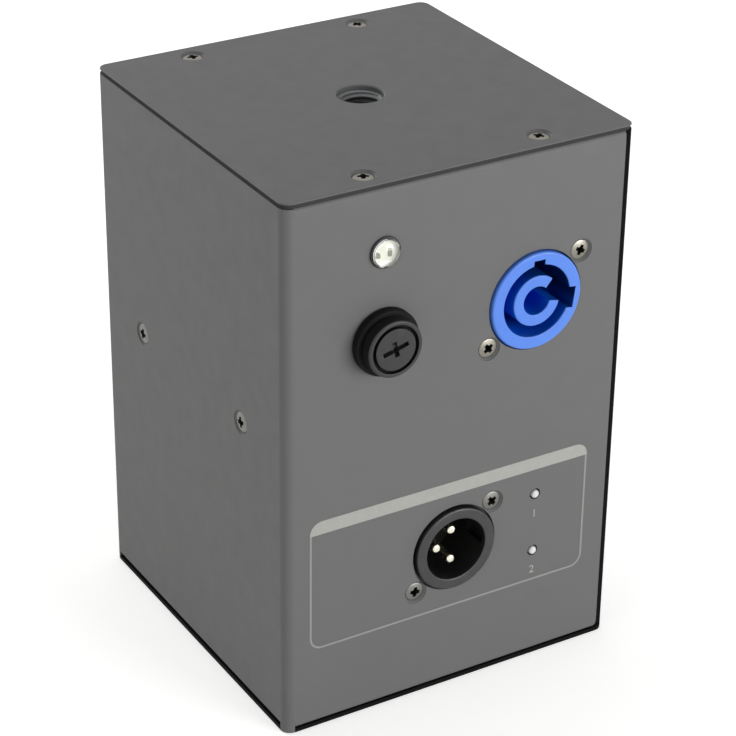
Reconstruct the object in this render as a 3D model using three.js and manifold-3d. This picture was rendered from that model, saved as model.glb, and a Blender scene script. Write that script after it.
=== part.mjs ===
// A stage box that shares out mains power and a lighting control signal.
// A sheet-metal housing hangs from a threaded bush in its top plate. The front carries a keyed
// mains inlet, a fuse holder, a pilot lamp, a three-pin control inlet and two status lights.
// The back carries two mains outlets and two latching control outlets.
// Millimetres, +X right, +Y back, +Z up, origin at the middle of the underside.

import * as THREE from 'three';
import { mergeVertices } from 'three/addons/utils/BufferGeometryUtils.js';
import Module from 'manifold-3d';

const wasm = await Module();
wasm.setup();

// Cuts run this far past the solid they cut, and points closer than the weld are one point.
const overrun = 1;
const weld = 0.0001;

// Gap between a seated piece and its seat, and round a piece in its hole.
const fit = { seat: 0.1, hole: 0.2, thread: 0.12, running: 0.3 };

const segmentCount = { screw: 10, small: 16, medium: 24, large: 30, bend: 3 };

const housing = {
  width: 90,
  depth: 90,
  height: 135,
  wall: 1.2,
  topPlate: 1.2,
  basePlate: 1.2,
  cornerRadius: 2.5,
  lipBend: 1.8,
  lipDepth: 12,
  lipRelief: 0.6,
  lipOverlap: 6,
  sideSeam: 0.8,
  closingSeam: 0.9
};

const screw = { headRadius: 2.8, shankRadius: 1.45, sunk: 0.05 };
const screwLength = { top: 8, base: 6, side: 6, connector: 7, shell: 9 };
const plateScrew = { acrossShare: 0.25, inset: 5.5 };
const sideScrew = { acrossShare: 0.274, heightShare: 0.545 };

const bush = {
  plateHole: 5.5,
  boreRadius: 4.3,
  leadIn: 0.8,
  flangeRadius: 11,
  flange: 2.5,
  bodyRadius: 9,
  body: 9
};

const shelf = { sheet: 1.2, bend: 2.2, upstand: 14, depth: 68, bossRadius: 2.5, boss: 4 };
const supplyBoard = { width: 62, depth: 46, thickness: 1.6, bossInset: 4 };
const supplyModule = { width: 34, depth: 20, height: 16, edge: 1.5 };

// Places on the front and back. The mains row hangs from the top, the signal row stands on the base.
const columnShare = 0.2235;
const inletColumnShare = 0.219;
const powerDrop = 37.7;
const pilotDrop = 16.4;
const signalRow = 37.7;
const lights = { offset: 22.3, pitch: 15.6 };

const power = {
  ringRadius: 12.15,
  proud: 0.9,
  flangeLong: 31,
  flangeShort: 26,
  flangeCorner: 4,
  flange: 2,
  rearRadius: 11.8,
  rearDepth: 24,
  grooveOuter: 8.9,
  coreRadius: 6.2,
  coreProud: 0.8,
  grooveDepth: 14,
  boreRadius: 3.1,
  boreDepth: 12,
  mouthFrom: -12,
  mouthTo: 50,
  keyDepth: 9,
  narrowKeyWidth: 3,
  narrowKeyReach: 10.1,
  narrowKeyAngle: 85.5,
  wideKeyWidth: 5.2,
  wideKeyReach: 10.2,
  wideKeyAngle: -7.5,
  screwLong: 12,
  screwShort: 9.5
};
const contact = {
  thickness: 0.8,
  width: 4,
  tabWidth: 6.3,
  radius: 7.55,
  tip: 4,
  tabStart: 26,
  tabEnd: 33,
  angles: [112, 200, 290]
};

const fuse = {
  flangeRadius: 8,
  flange: 2.2,
  flangeBevel: 0.5,
  barrelRadius: 6,
  barrelDepth: 31,
  boreRadius: 4.4,
  boreDepth: 27,
  nutRadius: 9,
  nut: 3.5,
  carrierRadius: 4.1,
  carrierFront: 3.9,
  carrierRear: 9,
  clipRadius: 2.75,
  clipDepth: 7,
  linkRadius: 2.6,
  linkLength: 20,
  contactRadius: 3.2,
  contact: 1.4,
  stemRadius: 1.5,
  stemEnd: 37,
  capRadius: 6.85,
  capFront: 5.3,
  capBevel: 0.5,
  capWall: 1.1,
  grooveRadius: 5.75,
  grooveWidth: 0.45,
  grooveDepth: 0.5,
  slotLength: 8,
  slotWidth: 1.4,
  slotDepth: 0.8,
  crossLength: 4.6
};

const pilot = {
  bezelRadius: 3.85,
  bezel: 0.5,
  barrelRadius: 3.5,
  barrelDepth: 8,
  boreRadius: 2.9,
  lensRadius: 3.35,
  dome: 1.7,
  crownShares: [0, 0.33, 0.67]
};

const inlet = {
  ringRadius: 10.7,
  proud: 1.1,
  bevel: 0.4,
  boreRadius: 7.8,
  boreDepth: 12,
  flangeSize: 28,
  flangeCorner: 6,
  flange: 2,
  rearRadius: 10.4,
  insert: 4.4,
  keyWidth: 3.2,
  keyReach: 9.1,
  keyDepth: 8,
  keySunk: 1.6,
  screwAcross: 10.3,
  screwUp: 9.3,
  pinRadius: 1.2,
  pinCircleRadius: 4,
  pinTip: 1.0,
  pinTail: 4,
  pinAngles: [90, 180, 270]
};

const signalBoard = {
  width: 64,
  shelfGap: 6.5,
  drop: 22,
  offset: 2,
  thickness: 1.6,
  edge: 2,
  chipWidth: 7,
  chipHeight: 10,
  chip: 3.4,
  chipPitch: 14,
  chipDrop: 13
};
const light = { radius: 1.5, proud: 0.5, collarRadius: 2.1, collarDepth: 5 };

const outlet = {
  flangeWidth: 26,
  flangeHeight: 31,
  flangeCorner: 5,
  flange: 2,
  bevel: 0.5,
  barrelRadius: 11.8,
  barrelDepth: 22,
  boreRadius: 9.8,
  boreDepth: 14,
  insertRadius: 7.9,
  insertSunk: 1.2,
  insertDepth: 19,
  holeRadius: 1.5,
  holeCircleRadius: 4,
  holeDepth: 12,
  holeAngles: [30, 150, 270],
  keyWidth: 3,
  keyHeight: 1.1,
  latchWidth: 8.6,
  latchFrom: 10.2,
  latchTo: 14.2,
  latchProud: 0.8,
  latchPlate: 1.1,
  latchTravel: 1.4,
  latchCorner: 0.8,
  stemWidth: 5,
  stemThickness: 1,
  stemDepth: 5,
  hookReach: 0.8,
  hookLength: 1.2,
  screwAcross: 9.5,
  screwUp: 12
};

const quarterTurn = Math.PI / 2;
const radians = (degrees) => THREE.MathUtils.degToRad(degrees);

const paint = (color, roughness, metalness = 0) =>
  new THREE.MeshStandardMaterial({ color, roughness, metalness });
const greyCoat = paint(0x6c6c6c, 0.55);
const blackCoat = paint(0x18181a, 0.6);
const zinc = paint(0xb9bcc0, 0.35, 1);
const bluePlastic = paint(0x3d7bf2, 0.35);
const greyPlastic = paint(0xb4b8bc, 0.4);
const blackPlastic = paint(0x17181a, 0.45);
const blackMetal = paint(0x3a3b3d, 0.4, 0.5);
const silvered = paint(0xd8d4c8, 0.25, 1);
const clearPlastic = paint(0xf2f3ee, 0.1);
const boardGreen = paint(0x1f6b3a, 0.5);
const fuseGlass = paint(0xdfe8e6, 0.1);

// Solids and shapes

function solid(geometry) {
  geometry.deleteAttribute('normal');
  geometry.deleteAttribute('uv');
  const merged = mergeVertices(geometry, weld);
  const position = merged.attributes.position;
  const corners = [0, 1, 2].map(() => new THREE.Vector3());
  const triangles = [];
  let volume = 0;
  for (let i = 0; i < merged.index.count; i += 3) {
    const face = [0, 1, 2].map((step) => merged.index.getX(i + step));
    if (new Set(face).size < 3) continue;
    triangles.push(face);
    face.forEach((vertex, k) => corners[k].fromBufferAttribute(position, vertex));
    volume += corners[0].dot(corners[1].cross(corners[2]));
  }
  if (volume < 0) triangles.forEach((face) => face.reverse());
  return new wasm.Manifold(new wasm.Mesh({
    numProp: 3,
    vertProperties: position.array,
    triVerts: Uint32Array.from(triangles.flat())
  }));
}

function geometryOf(body) {
  const { vertProperties, triVerts } = body.getMesh();
  const geometry = new THREE.BufferGeometry();
  geometry.setAttribute('position', new THREE.BufferAttribute(vertProperties, 3));
  geometry.setIndex(new THREE.BufferAttribute(triVerts, 1));
  geometry.computeVertexNormals();
  return geometry;
}

const join = (first, ...others) => others.reduce((sum, next) => sum.add(next), first);
const cut = (body, ...tools) => tools.reduce((rest, tool) => rest.subtract(tool), body);

// A profile of [radius, height] pairs turned round the z axis.
function turned(profile, segments) {
  const points = profile.map(([radius, height]) => new THREE.Vector2(radius, height));
  return new THREE.LatheGeometry(points, segments).rotateX(quarterTurn);
}

function rod(radius, bottom, top, segments) {
  return turned([[0, bottom], [radius, bottom], [radius, top], [0, top]], segments);
}

function tube(outer, inner, bottom, top, segments) {
  const profile = [[inner, bottom], [outer, bottom], [outer, top], [inner, top], [inner, bottom]];
  return turned(profile, segments);
}

function block(from, to) {
  const low = new THREE.Vector3(...from);
  const high = new THREE.Vector3(...to);
  const size = high.clone().sub(low);
  const middle = low.add(high).divideScalar(2);
  return new THREE.BoxGeometry(size.x, size.y, size.z).translate(middle.x, middle.y, middle.z);
}

function roundedRectangle(width, height, radius) {
  const shape = new THREE.Shape();
  const x = width / 2 - radius;
  const y = height / 2 - radius;
  shape.absarc(x, -y, radius, -quarterTurn, 0);
  shape.absarc(x, y, radius, 0, quarterTurn);
  shape.absarc(-x, y, radius, quarterTurn, Math.PI);
  shape.absarc(-x, -y, radius, Math.PI, Math.PI + quarterTurn);
  return shape;
}

function slab(shape, bottom, top) {
  const settings = { depth: top - bottom, bevelEnabled: false, curveSegments: segmentCount.bend };
  return new THREE.ExtrudeGeometry(shape, settings).translate(0, 0, bottom);
}

// Extrudes a shape drawn in the y-z plane along x, both ways from the middle.
function barAlongX(shape, length) {
  const turn = new THREE.Matrix4().makeBasis(
    new THREE.Vector3(0, 1, 0), new THREE.Vector3(0, 0, 1), new THREE.Vector3(1, 0, 0));
  return slab(shape, -length / 2, length / 2).applyMatrix4(turn);
}

function polar(radius, degrees) {
  return [radius * Math.cos(radians(degrees)), radius * Math.sin(radians(degrees))];
}

// A radial slot from the axis out to a reach, turned to an angle.
function radialSlot(width, reach, angle, bottom, top) {
  return block([0, -width / 2, bottom], [reach, width / 2, top]).rotateZ(radians(angle));
}

// A slice of a disc from the axis out to a reach, between two angles.
function sector(reach, from, to, bottom, top) {
  const shape = new THREE.Shape();
  shape.moveTo(0, 0);
  shape.absarc(0, 0, reach, radians(from), radians(to));
  return slab(shape, bottom, top);
}

// Faces of the housing: a group on the outside of a wall, z outwards, y up, x to the right
// as seen by someone who looks at that wall.

function faceFrame(side, across, up) {
  const turns = { front: 0, right: quarterTurn, back: Math.PI, left: -quarterTurn };
  const halfWidth = housing.width / 2;
  const halfDepth = housing.depth / 2;
  const places = {
    front: [across, -halfDepth, up],
    right: [halfWidth, across, up],
    back: [-across, halfDepth, up],
    left: [-halfWidth, -across, up]
  };
  const frame = new THREE.Group();
  frame.position.set(...places[side]);
  frame.rotation.set(quarterTurn, turns[side], 0);
  frame.updateMatrix();
  return frame;
}

function plateFrame(side, x, y) {
  const frame = new THREE.Group();
  frame.position.set(x, y, side === 'top' ? housing.height : 0);
  frame.rotation.set(side === 'top' ? 0 : Math.PI, 0, 0);
  frame.updateMatrix();
  return frame;
}

const toolAt = (frame, geometry) => solid(geometry.applyMatrix4(frame.matrix));

// Countersunk screws, head upwards at z = 0

function screwBody(length) {
  const { headRadius, shankRadius, sunk } = screw;
  const coneFoot = -sunk - (headRadius - shankRadius);
  return turned([
    [0, -sunk], [headRadius, -sunk], [shankRadius, coneFoot], [shankRadius, -length], [0, -length]
  ], segmentCount.screw);
}

function screwHole(length) {
  const head = screw.headRadius + fit.thread;
  const shank = screw.shankRadius + fit.thread;
  const coneFoot = -screw.sunk - (head - shank);
  const floor = -length - overrun;
  return turned([
    [0, overrun], [head, overrun], [head, -screw.sunk], [shank, coneFoot], [shank, floor], [0, floor]
  ], segmentCount.screw);
}

// Where the connectors' fixing screws sit, as [across, up] from the connector's middle.
const powerScrews = [[power.screwLong, power.screwShort], [-power.screwLong, -power.screwShort]];
const inletScrews = [[inlet.screwAcross, inlet.screwUp], [-inlet.screwAcross, -inlet.screwUp]];
const outletScrews = [[-outlet.screwAcross, outlet.screwUp], [outlet.screwAcross, -outlet.screwUp]];

const screwHoles = (places, length) =>
  places.map(([x, y]) => solid(screwHole(length).translate(x, y, 0)));

// Housing

const plateTop = housing.height - housing.topPlate;
const column = housing.width * columnShare;
const inletColumn = housing.width * inletColumnShare;
const powerRow = housing.height - powerDrop;
const pilotRow = housing.height - pilotDrop;
const sideScrewAcross = housing.depth * sideScrew.acrossShare;
const sideScrewRow = housing.height * sideScrew.heightShare;
const wallInside = -housing.wall - fit.seat;

function lipProfile() {
  const outside = -housing.depth / 2;
  const centre = outside + housing.lipBend;
  const bendLevel = plateTop - housing.lipBend;
  const foot = bendLevel - housing.lipOverlap;
  const shape = new THREE.Shape();
  shape.moveTo(outside, foot);
  shape.absarc(centre, bendLevel, housing.lipBend, Math.PI, quarterTurn, true);
  shape.lineTo(outside + housing.lipDepth, plateTop);
  shape.lineTo(outside + housing.lipDepth, plateTop - housing.wall);
  shape.absarc(centre, bendLevel, housing.lipBend - housing.wall, quarterTurn, Math.PI, false);
  shape.lineTo(outside + housing.wall, foot);
  return shape;
}

function bodyShell() {
  const { width, depth, wall, cornerRadius, basePlate, sideSeam, lipBend, lipRelief } = housing;
  const outline = roundedRectangle(width, depth, cornerRadius);
  outline.holes.push(roundedRectangle(width - 2 * wall, depth - 2 * wall, cornerRadius - wall));
  const wrap = solid(slab(outline, basePlate, plateTop - sideSeam));

  const lipLength = width - 2 * (cornerRadius + lipRelief);
  const reliefHalf = width / 2 - cornerRadius;
  const halfDepth = depth / 2 + overrun;
  const reliefs = [[plateTop - lipBend, plateTop + overrun], [0, basePlate + lipBend]].map(
    ([low, high]) => solid(block([-reliefHalf, -halfDepth, low], [reliefHalf, halfDepth, high])));
  const lip = () => barAlongX(lipProfile(), lipLength);
  const seamRight = width / 2 - wall;
  const seam = solid(block(
    [seamRight - housing.closingSeam, -halfDepth, 0], [seamRight, -depth / 2 + cornerRadius, plateTop]));
  const lips = [
    lip(),
    lip().rotateZ(Math.PI),
    lip().rotateX(Math.PI).translate(0, 0, plateTop + basePlate),
    lip().rotateX(Math.PI).rotateZ(Math.PI).translate(0, 0, plateTop + basePlate)
  ].map(solid);
  return join(cut(wrap, ...reliefs, seam), ...lips);
}

function wallCutOuts() {
  const through = -housing.wall - overrun;
  const hole = (radius, segments) => rod(radius + fit.hole, through, overrun, segments);
  const holeAt = (frame, radius, segments) => toolAt(frame, hole(radius, segments));
  const screwsAt = (frame, places, length) =>
    places.map(([x, y]) => toolAt(frame, screwHole(length).translate(x, y, 0)));
  return [
    holeAt(frames.powerInlet, power.ringRadius, segmentCount.large),
    ...screwsAt(frames.powerInlet, powerScrews, screwLength.connector),
    holeAt(frames.fuse, fuse.barrelRadius, segmentCount.medium),
    holeAt(frames.pilot, pilot.barrelRadius, segmentCount.small),
    holeAt(frames.signalInlet, inlet.ringRadius, segmentCount.large),
    ...screwsAt(frames.signalInlet, inletScrews, screwLength.connector),
    ...frames.lights.map((frame) => holeAt(frame, light.radius, segmentCount.screw)),
    ...frames.powerOutlets.flatMap((frame) => [
      holeAt(frame, power.ringRadius, segmentCount.large),
      ...screwsAt(frame, powerScrews, screwLength.connector)
    ]),
    ...frames.signalOutlets.flatMap((frame) => [
      holeAt(frame, outlet.barrelRadius, segmentCount.large),
      ...outletScrews.map(([x, y]) => toolAt(frame,
        rod(screw.shankRadius + fit.thread, through, overrun, segmentCount.screw).translate(x, y, 0)))
    ]),
    ...frames.sideScrews.map((frame) => toolAt(frame, screwHole(screwLength.side)))
  ];
}

function coverPlate(bottom, top) {
  return solid(slab(roundedRectangle(housing.width, housing.depth, housing.cornerRadius), bottom, top));
}

function suspensionBush() {
  const top = plateTop;
  const { boreRadius, leadIn, flangeRadius, flange, bodyRadius, body } = bush;
  const round = turned([
    [boreRadius, top - flange - body], [bodyRadius, top - flange - body], [bodyRadius, top - flange],
    [flangeRadius, top - flange], [flangeRadius, top], [boreRadius + leadIn, top],
    [boreRadius, top - leadIn], [boreRadius, top - flange - body]
  ], segmentCount.medium);
  return solid(round);
}

// Shelf between the mains parts above and the signal parts below

const shelfBase = sideScrewRow - shelf.upstand / 2;

function shelfProfile() {
  const half = housing.width / 2 - housing.wall - fit.seat;
  const { sheet, bend, upstand } = shelf;
  const shape = new THREE.Shape();
  shape.moveTo(-half, shelfBase + upstand);
  shape.absarc(-half + bend, shelfBase + bend, bend, Math.PI, Math.PI + quarterTurn);
  shape.absarc(half - bend, shelfBase + bend, bend, -quarterTurn, 0);
  shape.lineTo(half, shelfBase + upstand);
  shape.lineTo(half - sheet, shelfBase + upstand);
  shape.absarc(half - bend, shelfBase + bend, bend - sheet, 0, -quarterTurn, true);
  shape.absarc(-half + bend, shelfBase + bend, bend - sheet, -quarterTurn, -Math.PI, true);
  shape.lineTo(-half + sheet, shelfBase + upstand);
  return shape;
}

const bossPlaces = [-1, 1].flatMap((x) => [-1, 1].map((y) => [
  x * (supplyBoard.width / 2 - supplyBoard.bossInset),
  y * (supplyBoard.depth / 2 - supplyBoard.bossInset)
]));

function partitionShelf() {
  const tray = solid(slab(shelfProfile(), -shelf.depth / 2, shelf.depth / 2).rotateX(quarterTurn));
  const floor = shelfBase + shelf.sheet;
  const sunk = floor - shelf.sheet / 2;
  const bosses = bossPlaces.map(([x, y]) =>
    solid(rod(shelf.bossRadius, sunk, floor + shelf.boss, segmentCount.screw).translate(x, y, 0)));
  const holes = frames.sideScrews.map((frame) => toolAt(frame, screwHole(screwLength.side)));
  return cut(join(tray, ...bosses), ...holes);
}

const boardLevel = shelfBase + shelf.sheet + shelf.boss;

function supplyBoardBody() {
  const { width, depth, thickness } = supplyBoard;
  return block([-width / 2, -depth / 2, boardLevel], [width / 2, depth / 2, boardLevel + thickness]);
}

function supplyModuleBody() {
  const { width, depth, height, edge } = supplyModule;
  const bottom = boardLevel + supplyBoard.thickness;
  return slab(roundedRectangle(width, depth, edge), bottom, bottom + height);
}

// Keyed mains connector: a ring with two keyways round a split core

function powerHousing() {
  const front = power.proud;
  const flangeTop = wallInside;
  const back = flangeTop - power.flange;
  const floor = front - power.grooveDepth;
  const ring = rod(power.ringRadius, back, front, segmentCount.large);
  const flangeOutline = roundedRectangle(power.flangeLong, power.flangeShort, power.flangeCorner);
  const flange = slab(flangeOutline, back, flangeTop);
  const rear = rod(power.rearRadius, -power.rearDepth, back, segmentCount.large);
  const groove = tube(power.grooveOuter, power.coreRadius, floor, front + overrun, segmentCount.large);
  const coreTrim = rod(power.grooveOuter - fit.hole, power.coreProud, front + overrun, segmentCount.large);
  const bore = rod(power.boreRadius, front - power.boreDepth, front + overrun, segmentCount.medium);
  const mouthFloor = front - power.boreDepth;
  const mouthReach = (power.coreRadius + power.grooveOuter) / 2;
  const mouth = sector(mouthReach, power.mouthFrom, power.mouthTo, mouthFloor, front + overrun);
  const keyFloor = front - power.keyDepth;
  const narrowKey = radialSlot(
    power.narrowKeyWidth, power.narrowKeyReach, power.narrowKeyAngle, keyFloor, front + overrun);
  const wideKey = radialSlot(
    power.wideKeyWidth, power.wideKeyReach, power.wideKeyAngle, keyFloor, front + overrun);
  const guard = rod(power.coreRadius, keyFloor - overrun, front + 2 * overrun, segmentCount.large);
  const keys = join(solid(narrowKey), solid(wideKey)).subtract(solid(guard));
  const slots = contact.angles.map((angle) => solid(contactBlade(fit.hole).rotateZ(radians(angle))));
  return cut(
    join(solid(ring), solid(flange), solid(rear)),
    solid(groove), solid(coreTrim), solid(bore), solid(mouth), keys,
    ...slots, ...screwHoles(powerScrews, screwLength.connector));
}

// A flat contact that stands in the groove and ends in a push-on tab behind the housing.
function contactBlade(grow) {
  const { thickness, width, tabWidth, radius, tip, tabStart, tabEnd } = contact;
  const half = width / 2 + grow;
  const tabHalf = tabWidth / 2;
  const shape = new THREE.Shape();
  shape.moveTo(-half, -tip + grow);
  shape.lineTo(-half, -tabStart);
  shape.lineTo(-tabHalf, -tabStart);
  shape.lineTo(-tabHalf, -tabEnd);
  shape.lineTo(tabHalf, -tabEnd);
  shape.lineTo(tabHalf, -tabStart);
  shape.lineTo(half, -tabStart);
  shape.lineTo(half, -tip + grow);
  const inner = radius - thickness / 2 - grow;
  const outer = radius + thickness / 2 + grow;
  const turn = new THREE.Matrix4().makeBasis(
    new THREE.Vector3(0, 1, 0), new THREE.Vector3(0, 0, 1), new THREE.Vector3(1, 0, 0));
  return slab(shape, inner, outer).applyMatrix4(turn);
}

// Fuse holder, its cap and what the cap draws out

function fuseHolderBody() {
  const { flangeRadius, flange, flangeBevel, barrelRadius, barrelDepth, boreRadius, boreDepth } = fuse;
  const stemHole = fuse.stemRadius + fit.hole;
  return solid(turned([
    [stemHole, -barrelDepth], [barrelRadius, -barrelDepth], [barrelRadius, fit.seat],
    [flangeRadius, fit.seat], [flangeRadius, flange - flangeBevel], [flangeRadius - flangeBevel, flange],
    [boreRadius, flange], [boreRadius, -boreDepth], [stemHole, -boreDepth], [stemHole, -barrelDepth]
  ], segmentCount.medium));
}

function fuseNut() {
  const inside = wallInside;
  const hexagon = rod(fuse.nutRadius, inside - fuse.nut, inside, 6);
  const holeRadius = fuse.barrelRadius + fit.hole;
  const hole = rod(holeRadius, inside - fuse.nut - overrun, inside + overrun, segmentCount.medium);
  return cut(solid(hexagon), solid(hole));
}

const clipFloor = -fuse.carrierRear + fuse.clipDepth;

function fuseCarrier() {
  return turned([
    [0, fuse.carrierFront], [fuse.carrierRadius, fuse.carrierFront], [fuse.carrierRadius, -fuse.carrierRear],
    [fuse.clipRadius, -fuse.carrierRear], [fuse.clipRadius, clipFloor], [0, clipFloor]
  ], segmentCount.medium);
}

const linkFront = clipFloor - fit.seat;
const linkRear = linkFront - fuse.linkLength;

function fuseLink() {
  return rod(fuse.linkRadius, linkRear, linkFront, segmentCount.small);
}

function fuseContact() {
  const top = linkRear - fit.seat;
  return turned([
    [0, top], [fuse.contactRadius, top], [fuse.contactRadius, top - fuse.contact],
    [fuse.stemRadius, top - fuse.contact], [fuse.stemRadius, -fuse.stemEnd], [0, -fuse.stemEnd]
  ], segmentCount.small);
}

function fuseCap() {
  const { capRadius, capFront, capBevel, capWall, flange, grooveRadius, grooveWidth, grooveDepth } = fuse;
  const rear = flange + fit.running;
  const pocket = fuse.carrierRadius + fit.hole;
  const shell = turned([
    [pocket, rear], [capRadius, rear], [capRadius, capFront - capBevel], [capRadius - capBevel, capFront],
    [0, capFront], [0, capFront - capWall], [pocket, capFront - capWall], [pocket, rear]
  ], segmentCount.medium);
  const grooveTop = capFront + overrun;
  const ringGroove = tube(
    grooveRadius, grooveRadius - grooveWidth, capFront - grooveDepth, grooveTop, segmentCount.medium);
  const slotFloor = capFront - fuse.slotDepth;
  const bar = (length) => block(
    [-length / 2, -fuse.slotWidth / 2, slotFloor], [length / 2, fuse.slotWidth / 2, grooveTop]);
  return cut(solid(shell), solid(ringGroove), solid(bar(fuse.slotLength)),
    solid(bar(fuse.crossLength).rotateZ(quarterTurn)));
}

// Pilot lamp

function pilotBezel() {
  const { bezelRadius, bezel, barrelRadius, barrelDepth, boreRadius } = pilot;
  return turned([
    [boreRadius, -barrelDepth], [barrelRadius, -barrelDepth], [barrelRadius, fit.seat],
    [bezelRadius, fit.seat], [bezelRadius, bezel], [boreRadius, bezel], [boreRadius, -barrelDepth]
  ], segmentCount.small);
}

function pilotLens() {
  const { bezel, barrelDepth, boreRadius, lensRadius, dome } = pilot;
  const stem = boreRadius - fit.hole;
  const seat = bezel + fit.seat;
  const crown = pilot.crownShares.map((share) => {
    const turn = quarterTurn * share;
    return [lensRadius * Math.cos(turn), seat + dome * Math.sin(turn)];
  });
  return turned([
    [0, -barrelDepth], [stem, -barrelDepth], [stem, seat], ...crown, [0, seat + dome]
  ], segmentCount.small);
}

// Three-pin control inlet on its board

const boardFront = -inlet.boreDepth - inlet.insert - fit.running;

function inletShell() {
  const front = inlet.proud;
  const flangeTop = wallInside;
  const flangeBack = flangeTop - inlet.flange;
  const rear = -inlet.boreDepth - inlet.insert;
  const ring = turned([
    [0, flangeBack], [inlet.ringRadius, flangeBack], [inlet.ringRadius, front - inlet.bevel],
    [inlet.ringRadius - inlet.bevel, front], [0, front]
  ], segmentCount.large);
  const size = inlet.flangeSize;
  const flange = slab(roundedRectangle(size, size, inlet.flangeCorner), flangeBack, flangeTop);
  const barrel = rod(inlet.rearRadius, rear, flangeBack, segmentCount.large);
  const bore = rod(inlet.boreRadius, rear - overrun, front + overrun, segmentCount.medium);
  const key = radialSlot(inlet.keyWidth, inlet.keyReach, 0, front - inlet.keyDepth, front - inlet.keySunk);
  return cut(join(solid(ring), solid(flange), solid(barrel)), solid(bore), solid(key),
    ...screwHoles(inletScrews, screwLength.connector));
}

const pinPlaces = inlet.pinAngles.map((angle) => polar(inlet.pinCircleRadius, angle));

function pinHoles(bottom, top) {
  const radius = inlet.pinRadius + fit.hole;
  return pinPlaces.map(([x, y]) =>
    solid(rod(radius, bottom, top, segmentCount.screw).translate(x, y, 0)));
}

function inletInsert() {
  const back = -inlet.boreDepth - inlet.insert;
  const disc = rod(inlet.boreRadius - fit.hole, back, -inlet.boreDepth, segmentCount.medium);
  const holes = pinHoles(back - overrun, overrun - inlet.boreDepth);
  return cut(solid(disc), ...holes);
}

function inletPin() {
  const { pinRadius, pinTip, pinTail } = inlet;
  const tail = boardFront - signalBoard.thickness - pinTail;
  const shoulder = pinRadius / 2;
  return turned([
    [0, tail], [pinRadius, tail], [pinRadius, -pinTip - shoulder], [shoulder, -pinTip], [0, -pinTip]
  ], segmentCount.screw);
}

function signalBoardBody() {
  const { width, shelfGap, drop, offset, thickness, edge } = signalBoard;
  const { chipWidth, chipHeight, chip, chipPitch, chipDrop } = signalBoard;
  const back = boardFront - thickness;
  const height = shelfBase - shelfGap - signalRow + drop;
  const board = slab(roundedRectangle(width, height, edge), back, boardFront)
    .translate(offset, height / 2 - drop, 0);
  const chips = [-1, 0, 1].map((step) => {
    const x = offset + step * chipPitch;
    const low = [x - chipWidth / 2, -chipDrop - chipHeight / 2, back - chip];
    const high = [x + chipWidth / 2, -chipDrop + chipHeight / 2, back + thickness / 2];
    return solid(block(low, high));
  });
  const holes = pinHoles(back - overrun, boardFront + overrun);
  return cut(join(solid(board), ...chips), ...holes);
}

function statusLight() {
  const { radius, proud, collarRadius, collarDepth } = light;
  const foot = boardFront + fit.seat;
  return turned([
    [0, foot], [collarRadius, foot], [collarRadius, -collarDepth], [radius, -collarDepth],
    [radius, 0], [radius * Math.SQRT1_2, proud * Math.SQRT1_2], [0, proud]
  ], segmentCount.screw);
}

// Latching control outlet

// The tab lies in the flange. Its stem runs back in the barrel's wall and hooks into the bore.
function latchBody(grow) {
  const { flange, latchWidth, latchFrom, latchTo, latchCorner, latchPlate, latchProud } = outlet;
  const { stemWidth, stemThickness, stemDepth, hookReach, hookLength } = outlet;
  const travel = grow ? outlet.latchTravel : 0;
  const top = grow ? flange + overrun : flange + latchProud;
  const plateBack = flange + latchProud - latchPlate - travel - grow / 2;
  const outline = roundedRectangle(latchWidth + 2 * grow, latchTo - latchFrom + 2 * grow, latchCorner);
  const plate = slab(outline, plateBack, top).translate(0, (latchFrom + latchTo) / 2, 0);
  const half = stemWidth / 2 + grow;
  const stemBack = -stemDepth - travel - grow;
  const stemInside = latchFrom - grow;
  const stemOutside = latchFrom + stemThickness + grow;
  const stemFront = flange + latchProud - latchPlate / 2;
  const stem = block([-half, stemInside, stemBack], [half, stemOutside, stemFront]);
  const hookFront = -stemDepth + hookLength + grow;
  const hook = block([-half, latchFrom - hookReach, stemBack], [half, stemOutside, hookFront]);
  return join(solid(plate), solid(stem), solid(hook));
}

function outletShell() {
  const { flangeWidth, flangeHeight, flangeCorner, flange, bevel, barrelRadius, barrelDepth } = outlet;
  const rounded = roundedRectangle(flangeWidth - 2 * bevel, flangeHeight - 2 * bevel, flangeCorner - bevel);
  const lower = slab(roundedRectangle(flangeWidth, flangeHeight, flangeCorner), fit.seat, flange - bevel);
  const upper = slab(rounded, flange - bevel, flange);
  const barrel = rod(barrelRadius, -barrelDepth, fit.seat, segmentCount.large);
  const bore = rod(outlet.boreRadius, flange - outlet.boreDepth, flange + overrun, segmentCount.medium);
  const rearBore = rod(outlet.insertRadius + fit.hole, -barrelDepth - overrun, flange, segmentCount.medium);
  const screws = outletScrews.map(([x, y]) => solid(screwHole(screwLength.shell).translate(x, y, flange)));
  return cut(join(solid(lower), solid(upper), solid(barrel)),
    solid(bore), solid(rearBore), latchBody(fit.hole), ...screws);
}

function outletInsert() {
  const { insertRadius, insertSunk, insertDepth, flange, holeRadius, holeCircleRadius, holeDepth } = outlet;
  const front = flange - insertSunk;
  const plug = rod(insertRadius, -insertDepth, front, segmentCount.medium);
  const key = radialSlot(
    outlet.keyWidth, insertRadius + outlet.keyHeight, 90, flange - outlet.boreDepth + fit.seat, front);
  const holes = outlet.holeAngles.map((angle) => {
    const [x, y] = polar(holeCircleRadius, angle);
    return solid(rod(holeRadius, front - holeDepth, front + overrun, segmentCount.screw).translate(x, y, 0));
  });
  return cut(join(solid(plug), solid(key)), ...holes);
}

// Assembly

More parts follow.
